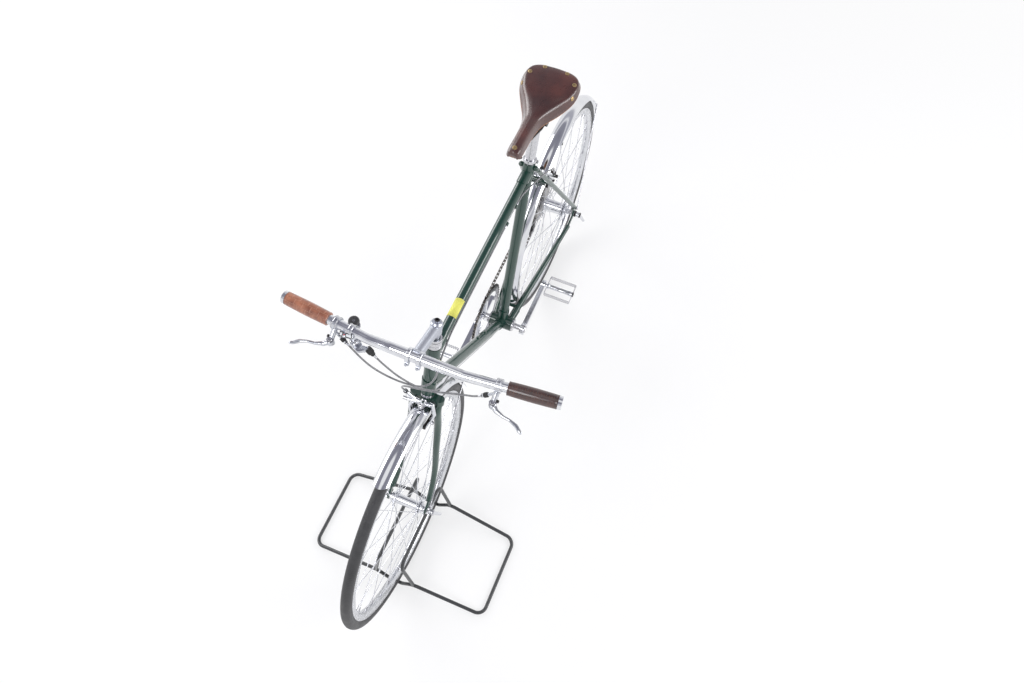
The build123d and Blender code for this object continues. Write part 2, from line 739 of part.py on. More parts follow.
def fork_blades():
    """Tapered blades with the forward rake near their feet, and the fork ends."""
    places = [(*blade_centre(share * crown_bottom), share * crown_bottom) for share in blade_shares]
    sections = []
    for index, place in enumerate(places):
        before = Vector(*places[max(index - 1, 0)])
        after = Vector(*places[min(index + 1, len(places) - 1)])
        way = after - before if index else Vector(0, 0, -1)
        share = index / (len(places) - 1)
        depth = blade_top_depth + (blade_foot_depth - blade_top_depth) * share
        width = blade_top_width + (blade_foot_width - blade_top_width) * share
        sections.append(Plane(origin=place, x_dir=(1, 0, 0), z_dir=way) * Ellipse(depth, width))
    blade = steer * loft(sections)
    inner = front_hub_width / 2
    outer = inner + dropout_thickness
    forward, side, rise = places[-1]
    foot = steer.from_local_coords(Vector(forward - blade_lap / 2, side, rise + blade_lap))
    end = bar_plate(foot, front_axle, blade_foot_width, inner, outer)
    end += rod(front_axle + across * inner, front_axle + across * outer, fork_end_radius)
    eyelet = front_axle + Vector(-fork_eyelet, inner, 0)
    end += rod(eyelet, eyelet + across * dropout_thickness, eyelet_radius - 1)
    end -= rod(eyelet - across, eyelet + across * (dropout_thickness + 1), eyelet_hole)
    end -= rod(front_axle + across * (inner - 1), front_axle + across * (outer + 1), axle_radius + fit)
    end -= block((front_axle.X - axle_radius - fit, inner - 1, front_axle.Z - slot_depth),
                 (front_axle.X + axle_radius + fit, outer + 1, front_axle.Z))
    return both_sides(blade + end)


def headset_nuts():
    """Adjusting cup, washer and locknut that turn with the fork."""
    low = head_top + cup_height + seat
    washer = low + nut_height
    body = tube((0, 0, low), (0, 0, washer), nut_radius, steerer_radius + braze)
    body += tube((0, 0, washer), (0, 0, washer + washer_height), washer_radius, steerer_radius + braze)
    body += tube((0, 0, washer + washer_height), (0, 0, steerer_top), nut_radius, steerer_radius + braze)
    return steer * body


def stem():
    """Quill stem: collar and expander bolt, forward extension and the two-band bar clamp."""
    top = stem_height + stem_head_height
    cap = top + stem_cap
    body = rod((0, 0, steerer_top - quill_insert), (0, 0, top), quill_radius)
    body += rod((0, 0, stem_height - stem_head_height), (0, 0, top), stem_collar_radius)
    body += rod((0, 0, top), (0, 0, cap), stem_collar_radius, quill_radius)
    body += rod((0, 0, cap), (0, 0, cap + stem_cap), stem_bolt_radius)
    body -= rod((0, 0, cap), (0, 0, cap + stem_cap + 1), stem_bolt_radius / 2)
    body += rod((0, 0, stem_height), (stem_reach - bar_centre_radius / 2, 0, stem_height),
                stem_root_radius, stem_end_radius)
    shell = bar_centre_radius + clamp_wall
    body += rod((stem_reach, -clamp_half_width, stem_height), (stem_reach, clamp_half_width, stem_height),
                shell)
    window = clamp_half_width - clamp_band
    body -= block((stem_reach - bar_centre_radius / 4, -window, stem_height - 2 * shell),
                  (stem_reach + 2 * shell, window, stem_height + 2 * shell))
    for side in (1, -1):
        middle = side * (clamp_half_width - clamp_band / 2)
        ear = rod((stem_reach + shell / 2, middle - clamp_band / 2, stem_height - shell),
                  (stem_reach + shell / 2, middle + clamp_band / 2, stem_height - shell), ear_radius)
        screw = rod((stem_reach + shell / 2, middle, stem_height - shell),
                    (stem_reach + shell, middle, stem_height - shell), clamp_screw_radius)
        body += ear + screw
    body -= rod((stem_reach, -2 * clamp_half_width, stem_height),
                (stem_reach, 2 * clamp_half_width, stem_height), bar_centre_radius + braze)
    return steer * body


def bar_point(side):
    """Centre of the handlebar at a distance from the centre plane, on the left."""
    if side <= bar_bend:
        return bar_centre + across * side
    return bar_centre + across * bar_bend + sweep_way * ((side - bar_bend) / sweep_way.Y)


def handlebar():
    """Alloy bar: thick at the clamp, tapering, then swept back a little."""
    body = rod(flipped(bar_point(bar_bulge)), bar_point(bar_bulge), bar_centre_radius)
    half = rod(bar_point(bar_bulge), bar_point(bar_bend), bar_centre_radius, bar_end_radius)
    half += ball(bar_point(bar_bend), bar_end_radius)
    half += rod(bar_point(bar_bend), bar_point(bar_half_width - cap_length), bar_end_radius)
    return body + half + mirrored(half)


def grips():
    """Leather grips, a little thicker in the middle."""
    low = bar_point(grip_inner)
    high = bar_point(bar_half_width - cap_length)
    middle = (low + high) * 0.5
    body = rod(low, middle, grip_radius - grip_swell, grip_radius)
    body += rod(middle, high, grip_radius, grip_radius - grip_swell)
    return both_sides(body - rod(low - sweep_way, high + sweep_way, bar_end_radius + braze))


def grip_caps():
    low = bar_point(bar_half_width - cap_length)
    high = bar_point(bar_half_width)
    return both_sides(rod(low, high, grip_radius - grip_swell, grip_radius - 2 * grip_swell))


def brake_lever(side):
    """City lever: clamp band, neck with the cable adjuster, pivot boss and the curved blade."""
    at = bar_point(lever_place)
    pivot = at + lever_pivot
    body = rod(at - sweep_way * band_half_width, at + sweep_way * band_half_width,
               bar_end_radius + band_wall)
    body += rod(at, pivot, lever_neck, lever_neck - 1)
    boss = Vector(0, 0, lever_neck)
    body += rod(pivot - boss, pivot + boss, lever_boss)
    body += rod(pivot + boss, pivot + boss * 1.2, lever_neck / 2)
    body += limb([(at + offset, radius) for offset, radius in lever_blade])
    knob = adjuster_end - adjuster_way * adjuster_knob
    body += rod(at + adjuster_root, knob, adjuster_radius - 1) + rod(knob, adjuster_end, adjuster_radius)
    body -= rod(at - sweep_way * (2 * band_half_width), at + sweep_way * (2 * band_half_width),
                bar_end_radius + braze)
    return body if side > 0 else mirrored(body)


def shifter():
    """Shifter inside the right lever: clamp, pod, thumb paddle, lower lever and barrel adjuster."""
    at = bar_point(shifter_place)
    hub = at + shifter_hub
    low = hub - Vector(0, 0, shifter_height / 2)
    high = hub + Vector(0, 0, shifter_height / 2)
    body = rod(at - sweep_way * band_half_width, at + sweep_way * band_half_width,
               bar_end_radius + band_wall)
    body += limb([(at + offset, radius) for offset, radius in shifter_pod])
    body += rod(low, high, shifter_radius)
    arm = limb([(hub + offset, radius) for offset, radius in shifter_arm])
    body += arm & block((hub.X - arm_slab, hub.Y - arm_slab, low.Z), (hub.X + arm_slab, hub.Y + arm_slab, hub.Z))
    body += rod(at + paddle_foot, at + paddle_place, paddle_arm)
    body += rod(at + paddle_place, at + paddle_place + Vector(0, 0, paddle_height), paddle_radius)
    knob = shifter_end - shifter_way * adjuster_knob
    body += rod(hub + shifter_arm[-1][0], knob, adjuster_radius - 1) + rod(knob, shifter_end, adjuster_radius)
    body -= rod(at - sweep_way * (4 * band_half_width), at + sweep_way * (4 * band_half_width),
                bar_end_radius + braze)
    return mirrored(body)


# ---------------------------------------------------------------- wheels
def tyre(axle):
    """Slick tyre, open to the rim on its inner side."""
    centre = wheel_radius - tyre_section / 2
    section = Pos(centre, 0) * Circle(tyre_section / 2)
    keep = Pos(rim_outer + seat + tyre_section, 0) * Rectangle(2 * tyre_section, 2 * tyre_section)
    return Pos(*axle) * revolve(section & keep, Axis.Y, 360)


def rim(axle):
    half = rim_width / 2
    points = [(rim_inner, -rim_flat), (rim_inner + rim_bed, -half), (rim_outer, -half),
              (rim_outer, half), (rim_inner + rim_bed, half), (rim_inner, rim_flat)]
    return wheel_ring(points, axle)


def spoke_set(axle, flange_left, flange_right, hole_radius):
    """Crossed spokes from the two flanges to the rim."""
    spokes = []
    for index in range(spoke_count):
        side = 1 if index % 2 == 0 else -1
        flange = flange_left if side > 0 else -flange_right
        lean = 1 if (index // 2) % 2 == 0 else -1
        rim_turn = 360 / spoke_count * index
        inner = around(axle, hole_radius, rim_turn + lean * spoke_cross, flange + spoke_face * lean)
        outer = around(axle, rim_inner - braze, rim_turn, side * rim_flat / 2)
        spokes.append(rod(inner, outer, spoke_radius))
    return spokes


def hub(axle, left, right, flanges, flange_radius, barrel_radius, core_radius):
    """Hub shell between its locknuts with its spokes laced to it, bored for the axle."""
    body = rod(axle - across * right, axle + across * left, core_radius)
    body += rod(axle - across * flanges[1], axle + across * flanges[0], barrel_radius)
    for flange in (flanges[0], -flanges[1]):
        middle = axle + across * flange
        half = across * (flange_thickness / 2)
        body += rod(middle - half, middle + half, flange_radius)
    for spoke in spoke_set(axle, *flanges, flange_radius - flange_rim):
        body += spoke
    return body - rod(axle - across * (right + 1), axle + across * (left + 1), axle_radius + fit)


def skewer(axle, hub_width, reach_right, reach_left):
    """Axle with its locknuts, the quick release lever on the left and the nut on the right."""
    inner = hub_width / 2
    outer = inner + dropout_thickness
    body = rod(axle - across * (outer + locknut_radius), axle + across * (outer + locknut_radius),
               axle_radius)
    body += rod(axle + across * (reach_left + axle_play), axle + across * (inner - braze), locknut_radius)
    body += rod(axle - across * (reach_right + axle_play), axle - across * (inner - braze), locknut_radius)
    knee = axle + across * (outer + release_height)
    body += rod(axle + across * (outer + braze), knee, locknut_radius)
    body += rod(axle - across * (outer + braze), axle - across * (outer + nut_height), locknut_radius)
    body += limb([(knee, release_radius + 1), (knee + release_reach, release_radius)])
    return body


# ---------------------------------------------------------------- drivetrain
def toothed_ring(centre, teeth, thickness, side, inner_radius):
    """A flat sprocket with pointed teeth, centred on one side plane."""
    pitch_radius = chain_pitch / (2 * sin(pi / teeth))
    step = 2 * pi / teeth
    points = []
    for index in range(teeth):
        for share, grow in tooth_form:
            radius = pitch_radius + grow
            turn = (index + share) * step
            points.append((radius * cos(turn), radius * sin(turn)))
    outline = make_face(Polyline(*points, close=True).edges()) - Circle(inner_radius)
    plane = Plane(origin=centre + across * (side + thickness / 2), x_dir=(1, 0, 0), z_dir=(0, -1, 0))
    return plane * extrude(outline, amount=thickness)


def chainring():
    """Outer chainring with its five inner lugs."""
    body = toothed_ring(bracket, ring_teeth, ring_thickness, -chainline, ring_radius - ring_depth)
    half = ring_thickness / 2
    for index in range(spider_arms):
        turn = 360 / spider_arms * index + spider_turn
        start = around(bracket, bolt_circle, turn)
        end = around(bracket, ring_radius - ring_depth + spider_half, turn)
        body += bar_plate(start, end, spider_half, -chainline - half, -chainline + half)
    return body


def crank_arm(side):
    """Crank arm with the pedal's spindle; the left one points back and the right one forward."""
    eye = bracket - ahead * (side * crank_length)
    low, high = sorted((side * crank_inner, side * crank_outer))
    body = rod(bracket + across * (side * crank_inner), bracket + across * (side * crank_outer),
               crank_boss_radius)
    body += bar_plate(bracket, eye, crank_arm_half, low, high)
    body += rod(eye + across * low, eye + across * high, crank_eye_radius)
    reach = pedal_inner + pedal_length - 2 * pedal_plate
    body += rod(eye + across * (side * crank_outer), eye + across * (side * reach), pedal_spindle)
    if side < 0:
        for index in range(spider_arms):
            turn = 360 / spider_arms * index + spider_turn
            start = around(bracket, spindle_radius + spider_half, turn)
            end = around(bracket, bolt_circle, turn)
            body += bar_plate(start, end, spider_half, -crank_inner - ring_thickness,
                              -chainline - ring_thickness / 2 - braze)
    reach = across * (spindle_reach + 1)
    return body - rod(bracket - reach, bracket + reach, spindle_radius + braze)


def spindle():
    reach = across * spindle_reach
    return rod(bracket - reach, bracket + reach, spindle_radius)


def pedal(side):
    """Cage pedal: barrel on the spindle, two serrated side plates and their end plates."""
    eye = bracket - ahead * (side * crank_length)
    outer_end = pedal_inner + pedal_length
    centre = eye + across * ((pedal_inner + outer_end) / 2)
    cage = Box(pedal_width, pedal_length, pedal_height)
    room = Box(pedal_width - 2 * pedal_plate, pedal_length - 2 * pedal_plate, 2 * pedal_height)
    body = Pos(*centre) * (cage - room)
    body += rod(eye + across * pedal_inner, eye + across * outer_end, pedal_barrel)
    body -= rod(eye + across * (pedal_inner - 1), eye + across * (outer_end - 1.5 * pedal_plate),
                pedal_spindle + fit)
    return body if side > 0 else mirrored(body)


def cassette():
    """Seven sprockets with the spacers between them."""
    bore = freehub_radius + braze
    innermost = outermost_sprocket + (len(sprocket_teeth) - 1) * sprocket_spacing
    body = tube(rear_axle + across * outermost_sprocket, rear_axle + across * innermost,
                freehub_radius + spacer_wall, bore)
    for index, teeth in enumerate(sprocket_teeth):
        side = outermost_sprocket + index * sprocket_spacing
        body += toothed_ring(rear_axle, teeth, sprocket_thickness, side, bore)
    return body


def chain_runs(grow):
    """Where the chain leaves and reaches each of the four wheels that it goes round."""
    wraps = [(bracket, ring_radius, 1), (rear_axle, sprocket_radius, 1), (guide_pulley, pulley_radius, -1),
             (tension_pulley, pulley_radius, 1)]
    ends = []
    for index, (centre, radius, way) in enumerate(wraps):
        following, next_radius, next_way = wraps[(index + 1) % len(wraps)]
        first = way * radius + grow
        second = next_way * next_radius + grow
        span = hypot(following.X - centre.X, following.Z - centre.Z)
        heading = atan2(following.Z - centre.Z, following.X - centre.X) - asin((second - first) / span)
        normal = (-sin(heading), cos(heading))
        leave = (centre.X - first * normal[0], centre.Z - first * normal[1])
        reach = (following.X - second * normal[0], following.Z - second * normal[1])
        ends.append((leave, reach))
    return wraps, ends


def chain_outline(grow):
    """Closed loop of lines and arcs round the chainring, sprocket and two pulleys."""
    wraps, ends = chain_runs(grow)
    edges = []
    for index, (centre, radius, way) in enumerate(wraps):
        arrive = ends[index - 1][1]
        leave = ends[index][0]
        begin = atan2(arrive[1] - centre.Z, arrive[0] - centre.X)
        finish = atan2(leave[1] - centre.Z, leave[0] - centre.X)
        turn = (finish - begin) * way % (2 * pi) * way
        middle = begin + turn / 2
        reach = abs(way * radius + grow)
        through = (centre.X + reach * cos(middle), centre.Z + reach * sin(middle))
        edges.append(ThreePointArc(arrive, through, leave))
        edges.append(Line(leave, ends[index][1]))
    return make_face([edge for curve in edges for edge in curve.edges()])


def chain():
    """Two rows of link plates round the whole loop, held together by rollers on the upper run."""
    loop = chain_outline(link_half_height) - chain_outline(-link_half_height)
    body = None
    for face in (-chainline - link_inner, -chainline + link_inner + link_thickness):
        plane = Plane(origin=across * face, x_dir=(1, 0, 0), z_dir=(0, -1, 0))
        plate = plane * extrude(loop, amount=link_thickness)
        body = plate if body is None else body + plate
    leave, reach = chain_runs(0)[1][0]
    leave = Vector(leave[0], -chainline, leave[1])
    run = Vector(reach[0], -chainline, reach[1]) - leave
    half = across * (link_inner + link_thickness / 2)
    for index in range(chain_rollers):
        place = leave + run * ((index + 1) / (chain_rollers + 1))
        body += rod(place - half, place + half, roller_radius)
    return body


def rear_derailleur():
    """Derailleur: hanger bolt, link body with its cable adjuster, cage plates and two pulleys."""
    inner = -chainline + link_inner + link_thickness + cage_room
    outer = -chainline - link_inner - link_thickness - cage_room
    body = bar_plate(guide_pulley, tension_pulley, cage_half, inner, inner + link_thickness)
    body += bar_plate(guide_pulley, tension_pulley, cage_half, outer - link_thickness, outer)
    for pulley in (guide_pulley, tension_pulley):
        body += rod(pulley + across * (outer - link_thickness), pulley + across * (inner + link_thickness),
                    pulley_bolt)
        body += rod(pulley - across * (chainline + pulley_half), pulley - across * (chainline - pulley_half),
                    pulley_disc)
    face = rear_hub_width / 2 + dropout_thickness
    boss = hanger_place - across * (face + seat)
    body += rod(hanger_place - across * (rear_hub_width / 2 + 1), boss, hanger_bolt)
    body += rod(boss, boss - across * link_boss, cage_half)
    pivot = guide_pulley + Vector(link_ahead, outer - link_thickness, 0)
    elbow = pivot - across * link_reach
    body += rod(boss - across * (link_boss / 2), elbow, link_width)
    body += ball(elbow, link_width) + rod(elbow, pivot, link_width)
    knob = gear_end + ahead * ferrule_length
    return body + rod(elbow, knob, adjuster_radius) + ball(knob, adjuster_radius) + rod(knob, gear_end,
                                                                                      adjuster_radius - 1)


# ---------------------------------------------------------------- guards
def guard(axle, angles):
    """Crowned mudguard strip over part of the wheel, with rounded ends."""
    outer = Pos(guard_radius - guard_bow, 0) * Circle(guard_bow)
    inner = Pos(guard_radius - guard_bow, 0) * Circle(guard_bow - guard_thickness)
    keep = Pos(guard_radius, 0) * Rectangle(guard_bow, 2 * guard_half_width)
    strip = revolve((outer - inner) & keep, Axis.Y, angles[1] - angles[0])
    body = Pos(*axle) * Rot(0, -(90 + angles[1]), 0) * strip
    for angle, way in ((angles[0], 1), (angles[1], -1)):
        centre = around(axle, guard_radius, angle + way * degrees(guard_half_width / guard_radius))
        radial = (centre - axle).normalized()
        plane = Plane(origin=centre, x_dir=Vector(radial.Z, 0, -radial.X) * way, z_dir=radial)
        corners = Pos(guard_half_width, 0, 0) * Box(2 * guard_half_width, 3 * guard_half_width,
                                                    2 * guard_half_width)
        body -= plane * (corners - Cylinder(guard_half_width, 3 * guard_half_width))
    return body


def guard_tab(axle, place, reach, radius):
    """Short stud between the guard's crown and the bridge or crown that carries it."""
    way = (place - axle).normalized()
    return rod(axle + way * (guard_radius + braze), axle + way * reach, radius)


def guard_stays(axle, hub_width, angle, eyelet):
    """Wire stays from the guard's edges to the dropout eyelets."""
    face = hub_width / 2 + dropout_thickness
    top = around(axle, guard_edge, angle, guard_half_width + guard_wire + braze)
    low = axle + eyelet + across * (face + wire_boss)
    stay = rod(low, top, guard_wire) + ball(low, wire_boss) + ball(top, guard_wire)
    stay += rod(axle + eyelet + across * (face + braze), low, wire_boss)
    return [stay.solid(), mirrored(stay).solid()]


def rear_guard_stays():
    """Wire stays and the two studs that hold the guard to the frame's bridges."""
    parts = guard_stays(rear_axle, rear_hub_width, rear_stay_angle, Vector(-eyelet_back, 0, eyelet_back))
    lower = Vector(lower_bridge.X, 0, lower_bridge.Z)
    for place, radius in ((bridge_middle, bridge_radius), (lower, lower_bridge_radius)):
        reach = (place - rear_axle).length - radius - braze
        parts.append(guard_tab(rear_axle, place, reach, upper_stud).solid())
    return Compound(children=parts)


def front_guard_stays():
    """Wire stays and the stud under the fork crown."""
    parts = guard_stays(front_axle, front_hub_width, front_stay_angle, Vector(-fork_eyelet, 0, 0))
    place = steer.from_local_coords(Vector(0, 0, crown_bottom))
    stud = guard_tab(front_axle, place, (place - front_axle).length + crown_height / 2, crown_stud)
    under = rod((0, 0, crown_bottom - 2 * crown_height), (0, 0, crown_bottom - braze), blade_top_side)
    parts.append((stud & (steer * under)).solid())
    return Compound(children=parts)


# ---------------------------------------------------------------- brakes
def caliper(centre, out, up, drop, mount, side):
    """Side-pull caliper: centre bolt, two arms round the guard, and both cable arms on one side."""
    body = rod(mount, centre + out * caliper_bolt, caliper_wire - 1)
    body += rod(centre - out * caliper_wire, centre + out * caliper_boss, caliper_boss)
    for way in (1, -1):
        shoulder = centre + across * (way * caliper_shoulder) + up * (caliper_wire - 1)
        elbow = centre + across * (way * caliper_half) - up * (drop * elbow_share)
        foot = centre + across * (way * (pad_side + caliper_wire - 1)) - up * drop
        body += limb([(centre, caliper_wire + 1), (shoulder, caliper_wire), (elbow, caliper_wire),
                      (foot, caliper_wire - 0.5)])
    reach = cable_reach(centre, out, up, side)
    anchor = centre + across * (side * cable_arm) + out * caliper_wire
    body += limb([(centre + across * (side * caliper_shoulder * 0.7), caliper_wire), (reach, caliper_wire - 1)])
    body += limb([(centre, caliper_wire), (anchor, caliper_wire - 1)])
    body += rod(anchor, reach, inner_wire)
    return body + rod(reach, reach + feed_way * feed_length, adjuster_radius - 1)


def cable_reach(centre, out, up, side):
    """Where the upper cable arm carries its adjuster."""
    return centre + across * (side * cable_arm) + up * cable_arm_rise + out * caliper_wire


def arm_drop(centre, up, axle):
    """How far down its own line a caliper has to reach to meet the rim's braking track."""
    offset = centre - axle
    along = offset.dot(up)
    return along - sqrt(along ** 2 - offset.dot(offset) + pad_radius ** 2)


def pads(centre, up, axle):
    """The two brake blocks beside the rim, following its curve."""
    place = centre - up * arm_drop(centre, up, axle)
    radial = (place - axle).normalized()
    plane = Plane(origin=place + across * pad_side, x_dir=(radial.Z, 0, -radial.X), z_dir=(0, 1, 0))
    return both_sides(plane * Box(pad_length, pad_height, pad_thickness))


def front_brake():
    mount = steer.from_local_coords(Vector(steerer_radius + fit, 0, fork_length - pivot_drop))
    drop = arm_drop(front_pivot, head_up, front_axle)
    body = caliper(front_pivot, head_forward, head_up, drop, mount, -1)
    return body - pads(front_pivot, head_up, front_axle)


def rear_brake():
    mount = bridge_middle + rear_out * (bridge_radius + fit)
    drop = arm_drop(rear_pivot, rear_up, rear_axle)
    body = caliper(rear_pivot, rear_out, rear_up, drop, mount, 1)
    return body - pads(rear_pivot, rear_up, rear_axle)


# ---------------------------------------------------------------- saddle
def seatpost():
    """Plain seatpost with the stop ring just above the lug."""
    ring = seat_top + seat_direction * ring_gap
    body = rod(seat_top - seat_direction * post_insert, post_top, seatpost_radius)
    return body + rod(ring, ring + seat_direction * ring_height, seatpost_radius + post_ring)


def saddle_section(place, half, top, drop, skirt):
    """Cross-section of the leather: a crowned top and the two hanging skirts."""
    fall = crown_fall * half
    flank = [(skirt, top - drop), (half + (skirt - half) * 0.35, top - drop * 0.55),
             (half * 0.9, top - fall), (half * 0.5, top - fall * 0.3)]
    left = [(-side, height) for side, height in flank]
    crown = Spline(*left, (0, top), *reversed(flank))
    plane = Plane(origin=(place, 0, 0), x_dir=(0, 1, 0), z_dir=(1, 0, 0))
    return plane * make_face(crown.edges() + Line(flank[0], left[0]).edges())


def saddle_form(inset):
    """The saddle's outer form, or with an inset the hollow under its leather."""
    middle = (saddle_nose + saddle_rear) / 2
    half_length = saddle_length / 2 - inset
    below = hollow_below if inset else 0.0
    sections = []
    for share, half, rise, drop, skirt in saddle_stations:
        place = middle + half_length * (1 - 2 * share)
        top = saddle_top + rise - inset
        sections.append(saddle_section(place, half - inset, top, drop + below - inset, skirt - inset))
    return loft(sections)


def saddle():
    """Leather top, open below: narrow ridged nose, broad crowned back and flared skirts."""
    return saddle_form(0.0) - saddle_form(leather)


def saddle_frame():
    """Rails, seat clamp, and the cantle and nose pieces that stretch the leather."""
    form = saddle_form(leather + seat)
    back = saddle_rear + leather + seat
    front = saddle_nose - leather - seat
    body = form & block((back - 1, -saddle_length, 0), (back + cantle_depth, saddle_length, 2 * saddle_top))
    body += form & block((front - cantle_length, -saddle_length, 0), (front + 1, saddle_length, 2 * saddle_top))
    rail = bent([(back + cantle_depth / 2, rail_spread, saddle_top - rail_rear_drop),
                 (back + rail_rear_run, rail_half_gap, rail_height),
                 (front - rail_front_run, rail_half_gap, rail_height),
                 (front - cantle_length / 2, rail_radius + 1, saddle_top - rail_front_drop)],
                rail_radius, [rail_bend, rail_bend])
    body += rail + mirrored(rail)
    clamp = Vector(post_top.X + (rail_height - post_top.Z) * seat_direction.X / seat_direction.Z, 0, rail_height)
    body += rod(clamp - across * clamp_half, clamp + across * clamp_half, clamp_radius)
    return body + rod(post_top + seat_direction * braze, clamp, seatpost_radius)


# ---------------------------------------------------------------- stand
def base_wire():
    """One closed wire: a wing on the floor at each side, rising to the necks and dipping under the tyre."""
    inner = stand_half_length
    near = wheel_radius + wire_radius + seat
    dip = wheel_radius - sqrt(near ** 2 - (stand_half_length - stand_offset) ** 2)
    outer = inner - stand_taper
    half = [(-inner, stand_dip_side, dip), (-inner, stand_neck, stand_neck_height),
            (-outer, stand_reach, wire_radius), (outer, stand_reach, wire_radius),
            (inner, stand_neck, stand_neck_height), (inner, stand_dip_side, dip)]
    points = [(stand_centre + x, y, z) for x, y, z in half]
    points += [(stand_centre - x, -y, z) for x, y, z in half]
    half_radii = [dip_bend, stand_bend, stand_bend, stand_bend, stand_bend, dip_bend]
    return bent(points, wire_radius, half_radii * 2, close=True)


def hoops():
    """The two upright hoops that keep the wheel from falling over."""
    inner = stand_half_length
    outer = inner - hoop_lean
    root = (stand_neck + 1, stand_neck_height - 2)
    points = [(stand_centre - inner, *root), (stand_centre - outer, hoop_half_width, hoop_height),
              (stand_centre + outer, hoop_half_width, hoop_height), (stand_centre + inner, *root)]
    body = bent(points, wire_radius, [stand_bend, stand_bend]) - base_wire()
    hoop = max(body.solids(), key=lambda piece: piece.volume)
    return Compound(children=[hoop, mirrored(hoop).solid()])


# ---------------------------------------------------------------- cables
def housing(points):
    """Cable housing along a route, with a ferrule at each end."""
    print("housing bends:", [round(radius) for radius in bend_radii(points)])
    start = (Vector(points[1]) - Vector(points[0])).normalized() * ferrule_length
    end = (Vector(points[-2]) - Vector(points[-1])).normalized() * ferrule_length
    body = bent(points, cable_radius)
    body += rod(points[0], Vector(points[0]) + start, ferrule_radius)
    return body + rod(points[-1], Vector(points[-1]) + end, ferrule_radius)


def front_brake_cable():
    """From the left lever, across in front of the stem and down to the caliper's right arm."""
    feed = cable_reach(front_pivot, head_forward, head_up, -1) + feed_way * (feed_length + braze)
    points = [adjuster_end + adjuster_way * braze, adjuster_end + adjuster_way * lead]
    points += [bar_centre + Vector(*offset) for offset in front_brake_route]
    points += [feed + feed_way * feed_run, feed]
    return housing(points)


def rear_brake_cable():
    """From the right lever to the top tube, bare between its stops, then round to the rear caliper."""
    feed = cable_reach(rear_pivot, rear_out, rear_up, 1) + feed_way * (feed_length + braze)
    points = [flipped(adjuster_end + adjuster_way * braze), flipped(adjuster_end + adjuster_way * lead)]
    points += [bar_centre + Vector(*offset) for offset in rear_brake_route]
    points += [Vector(points[-1].X - 2 * lead, front_stop.Y, front_stop.Z), front_stop + ahead * braze]
    behind = rear_stop - ahead * (stop_length + braze)
    body = housing(points)
    body += rod(front_stop + ahead, behind - ahead, inner_wire)
    tail = [behind] + [behind + Vector(*offset) for offset in rear_tail_route]
    return body + housing(tail + [feed + feed_way * feed_run, feed])


def gear_cable():
    """From the shifter to the down tube, bare below it and along the right stay, then to the derailleur."""
    points = [flipped(shifter_end + shifter_way * braze), flipped(shifter_end + shifter_way * lead)]
    points += [bar_centre + Vector(*offset) for offset in gear_route]
    points += [gear_stop - down_direction * lead, gear_stop - down_direction * braze]
    body = housing(points)
    wire = [gear_stop - down_direction, gear_stop + down_direction * (stop_length + clear)]
    wire += [bracket + Vector(*offset) for offset in gear_under_shell]
    wire += [stay_stop, stay_stop + gear_run * (stop_length + 1)]
    print("inner wire bends:", [round(radius) for radius in bend_radii(wire)])
    body += bent(wire, inner_wire)
    behind = stay_stop + gear_run * (stop_length + braze)
    loop = [behind, behind + gear_run * lead]
    loop += [rear_axle + Vector(*offset) for offset in gear_loop_route]
    return body + housing(loop + [gear_end - ahead * braze])


# ---------------------------------------------------------------- all pieces
pieces = {
    "head_tube": head_tube(),
    "top_tube": top_tube(),
    "down_tube": down_tube(),
    "seat_tube": seat_tube(),
    "seat_lug": seat_lug(),
    "bottom_bracket_shell": bottom_bracket_shell(),
    "bottom_bracket_cups": bottom_bracket_cups(),
    "chainstays": chainstays(),
    "seatstays": seatstays(),
    "rear_dropouts": rear_dropouts(),
    "stay_bridges": stay_bridges(),
    "headset_cups": headset_cups(),
    "seatpost": seatpost(),
    "saddle_frame": saddle_frame(),
    "saddle": saddle(),
    "rear_mudguard": guard(rear_axle, rear_guard_angles),
    "rear_guard_stays": rear_guard_stays(),
    "rear_brake": rear_brake(),
    "rear_brake_pads": pads(rear_pivot, rear_up, rear_axle),
    "rear_skewer": skewer(rear_axle, rear_hub_width, rear_locknut_right, rear_locknut_left),
    "rear_derailleur": rear_derailleur(),
    "chain": chain(),
    "rear_brake_cable": rear_brake_cable(),
    "gear_cable": gear_cable(),
    "fork": fork(),
    "fork_blades": fork_blades(),
    "headset_nuts": headset_nuts(),
    "stem": stem(),
    "handlebar": handlebar(),
    "grips": grips(),
    "grip_caps": grip_caps(),
    "brake_lever_left": brake_lever(1),
    "brake_lever_right": brake_lever(-1),
    "gear_shifter": shifter(),
    "front_brake": front_brake(),
    "front_brake_pads": pads(front_pivot, head_up, front_axle),
    "front_brake_cable": front_brake_cable(),
    "front_mudguard": guard(front_axle, front_guard_angles),
    "front_guard_stays": front_guard_stays(),
    "front_skewer": skewer(front_axle, front_hub_width, front_locknut, front_locknut),
    "stand_base": base_wire(),
    "stand_hoops": hoops(),
    "front_tyre": tyre(front_axle),
    "front_rim": rim(front_axle),
    "front_hub": hub(front_axle, front_locknut, front_locknut, (front_flange, front_flange),
                     front_flange_radius, front_barrel_radius, front_barrel_radius),
    "rear_tyre": tyre(rear_axle),
    "rear_rim": rim(rear_axle),
    "rear_hub": hub(rear_axle, rear_locknut_left, rear_locknut_right,
                    (rear_flange_left, rear_flange_right), rear_flange_radius, rear_barrel_radius,
                    freehub_radius),
    "cassette": cassette(),
    "crank_spindle": spindle(),
    "crank_left": crank_arm(1),
    "crank_right": crank_arm(-1),
    "chainring": chainring(),
    "pedal_left": pedal(1),
    "pedal_right": pedal(-1),
}

os.makedirs("parts", exist_ok=True)
for name, piece in pieces.items():
    export_step(piece, f"parts/{name}.step")
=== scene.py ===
import bpy
import bmesh
import json
from math import asin, atan2, ceil, cos, hypot, radians, sin, tau
from mathutils import Matrix, Vector
from mathutils.bvhtree import BVHTree


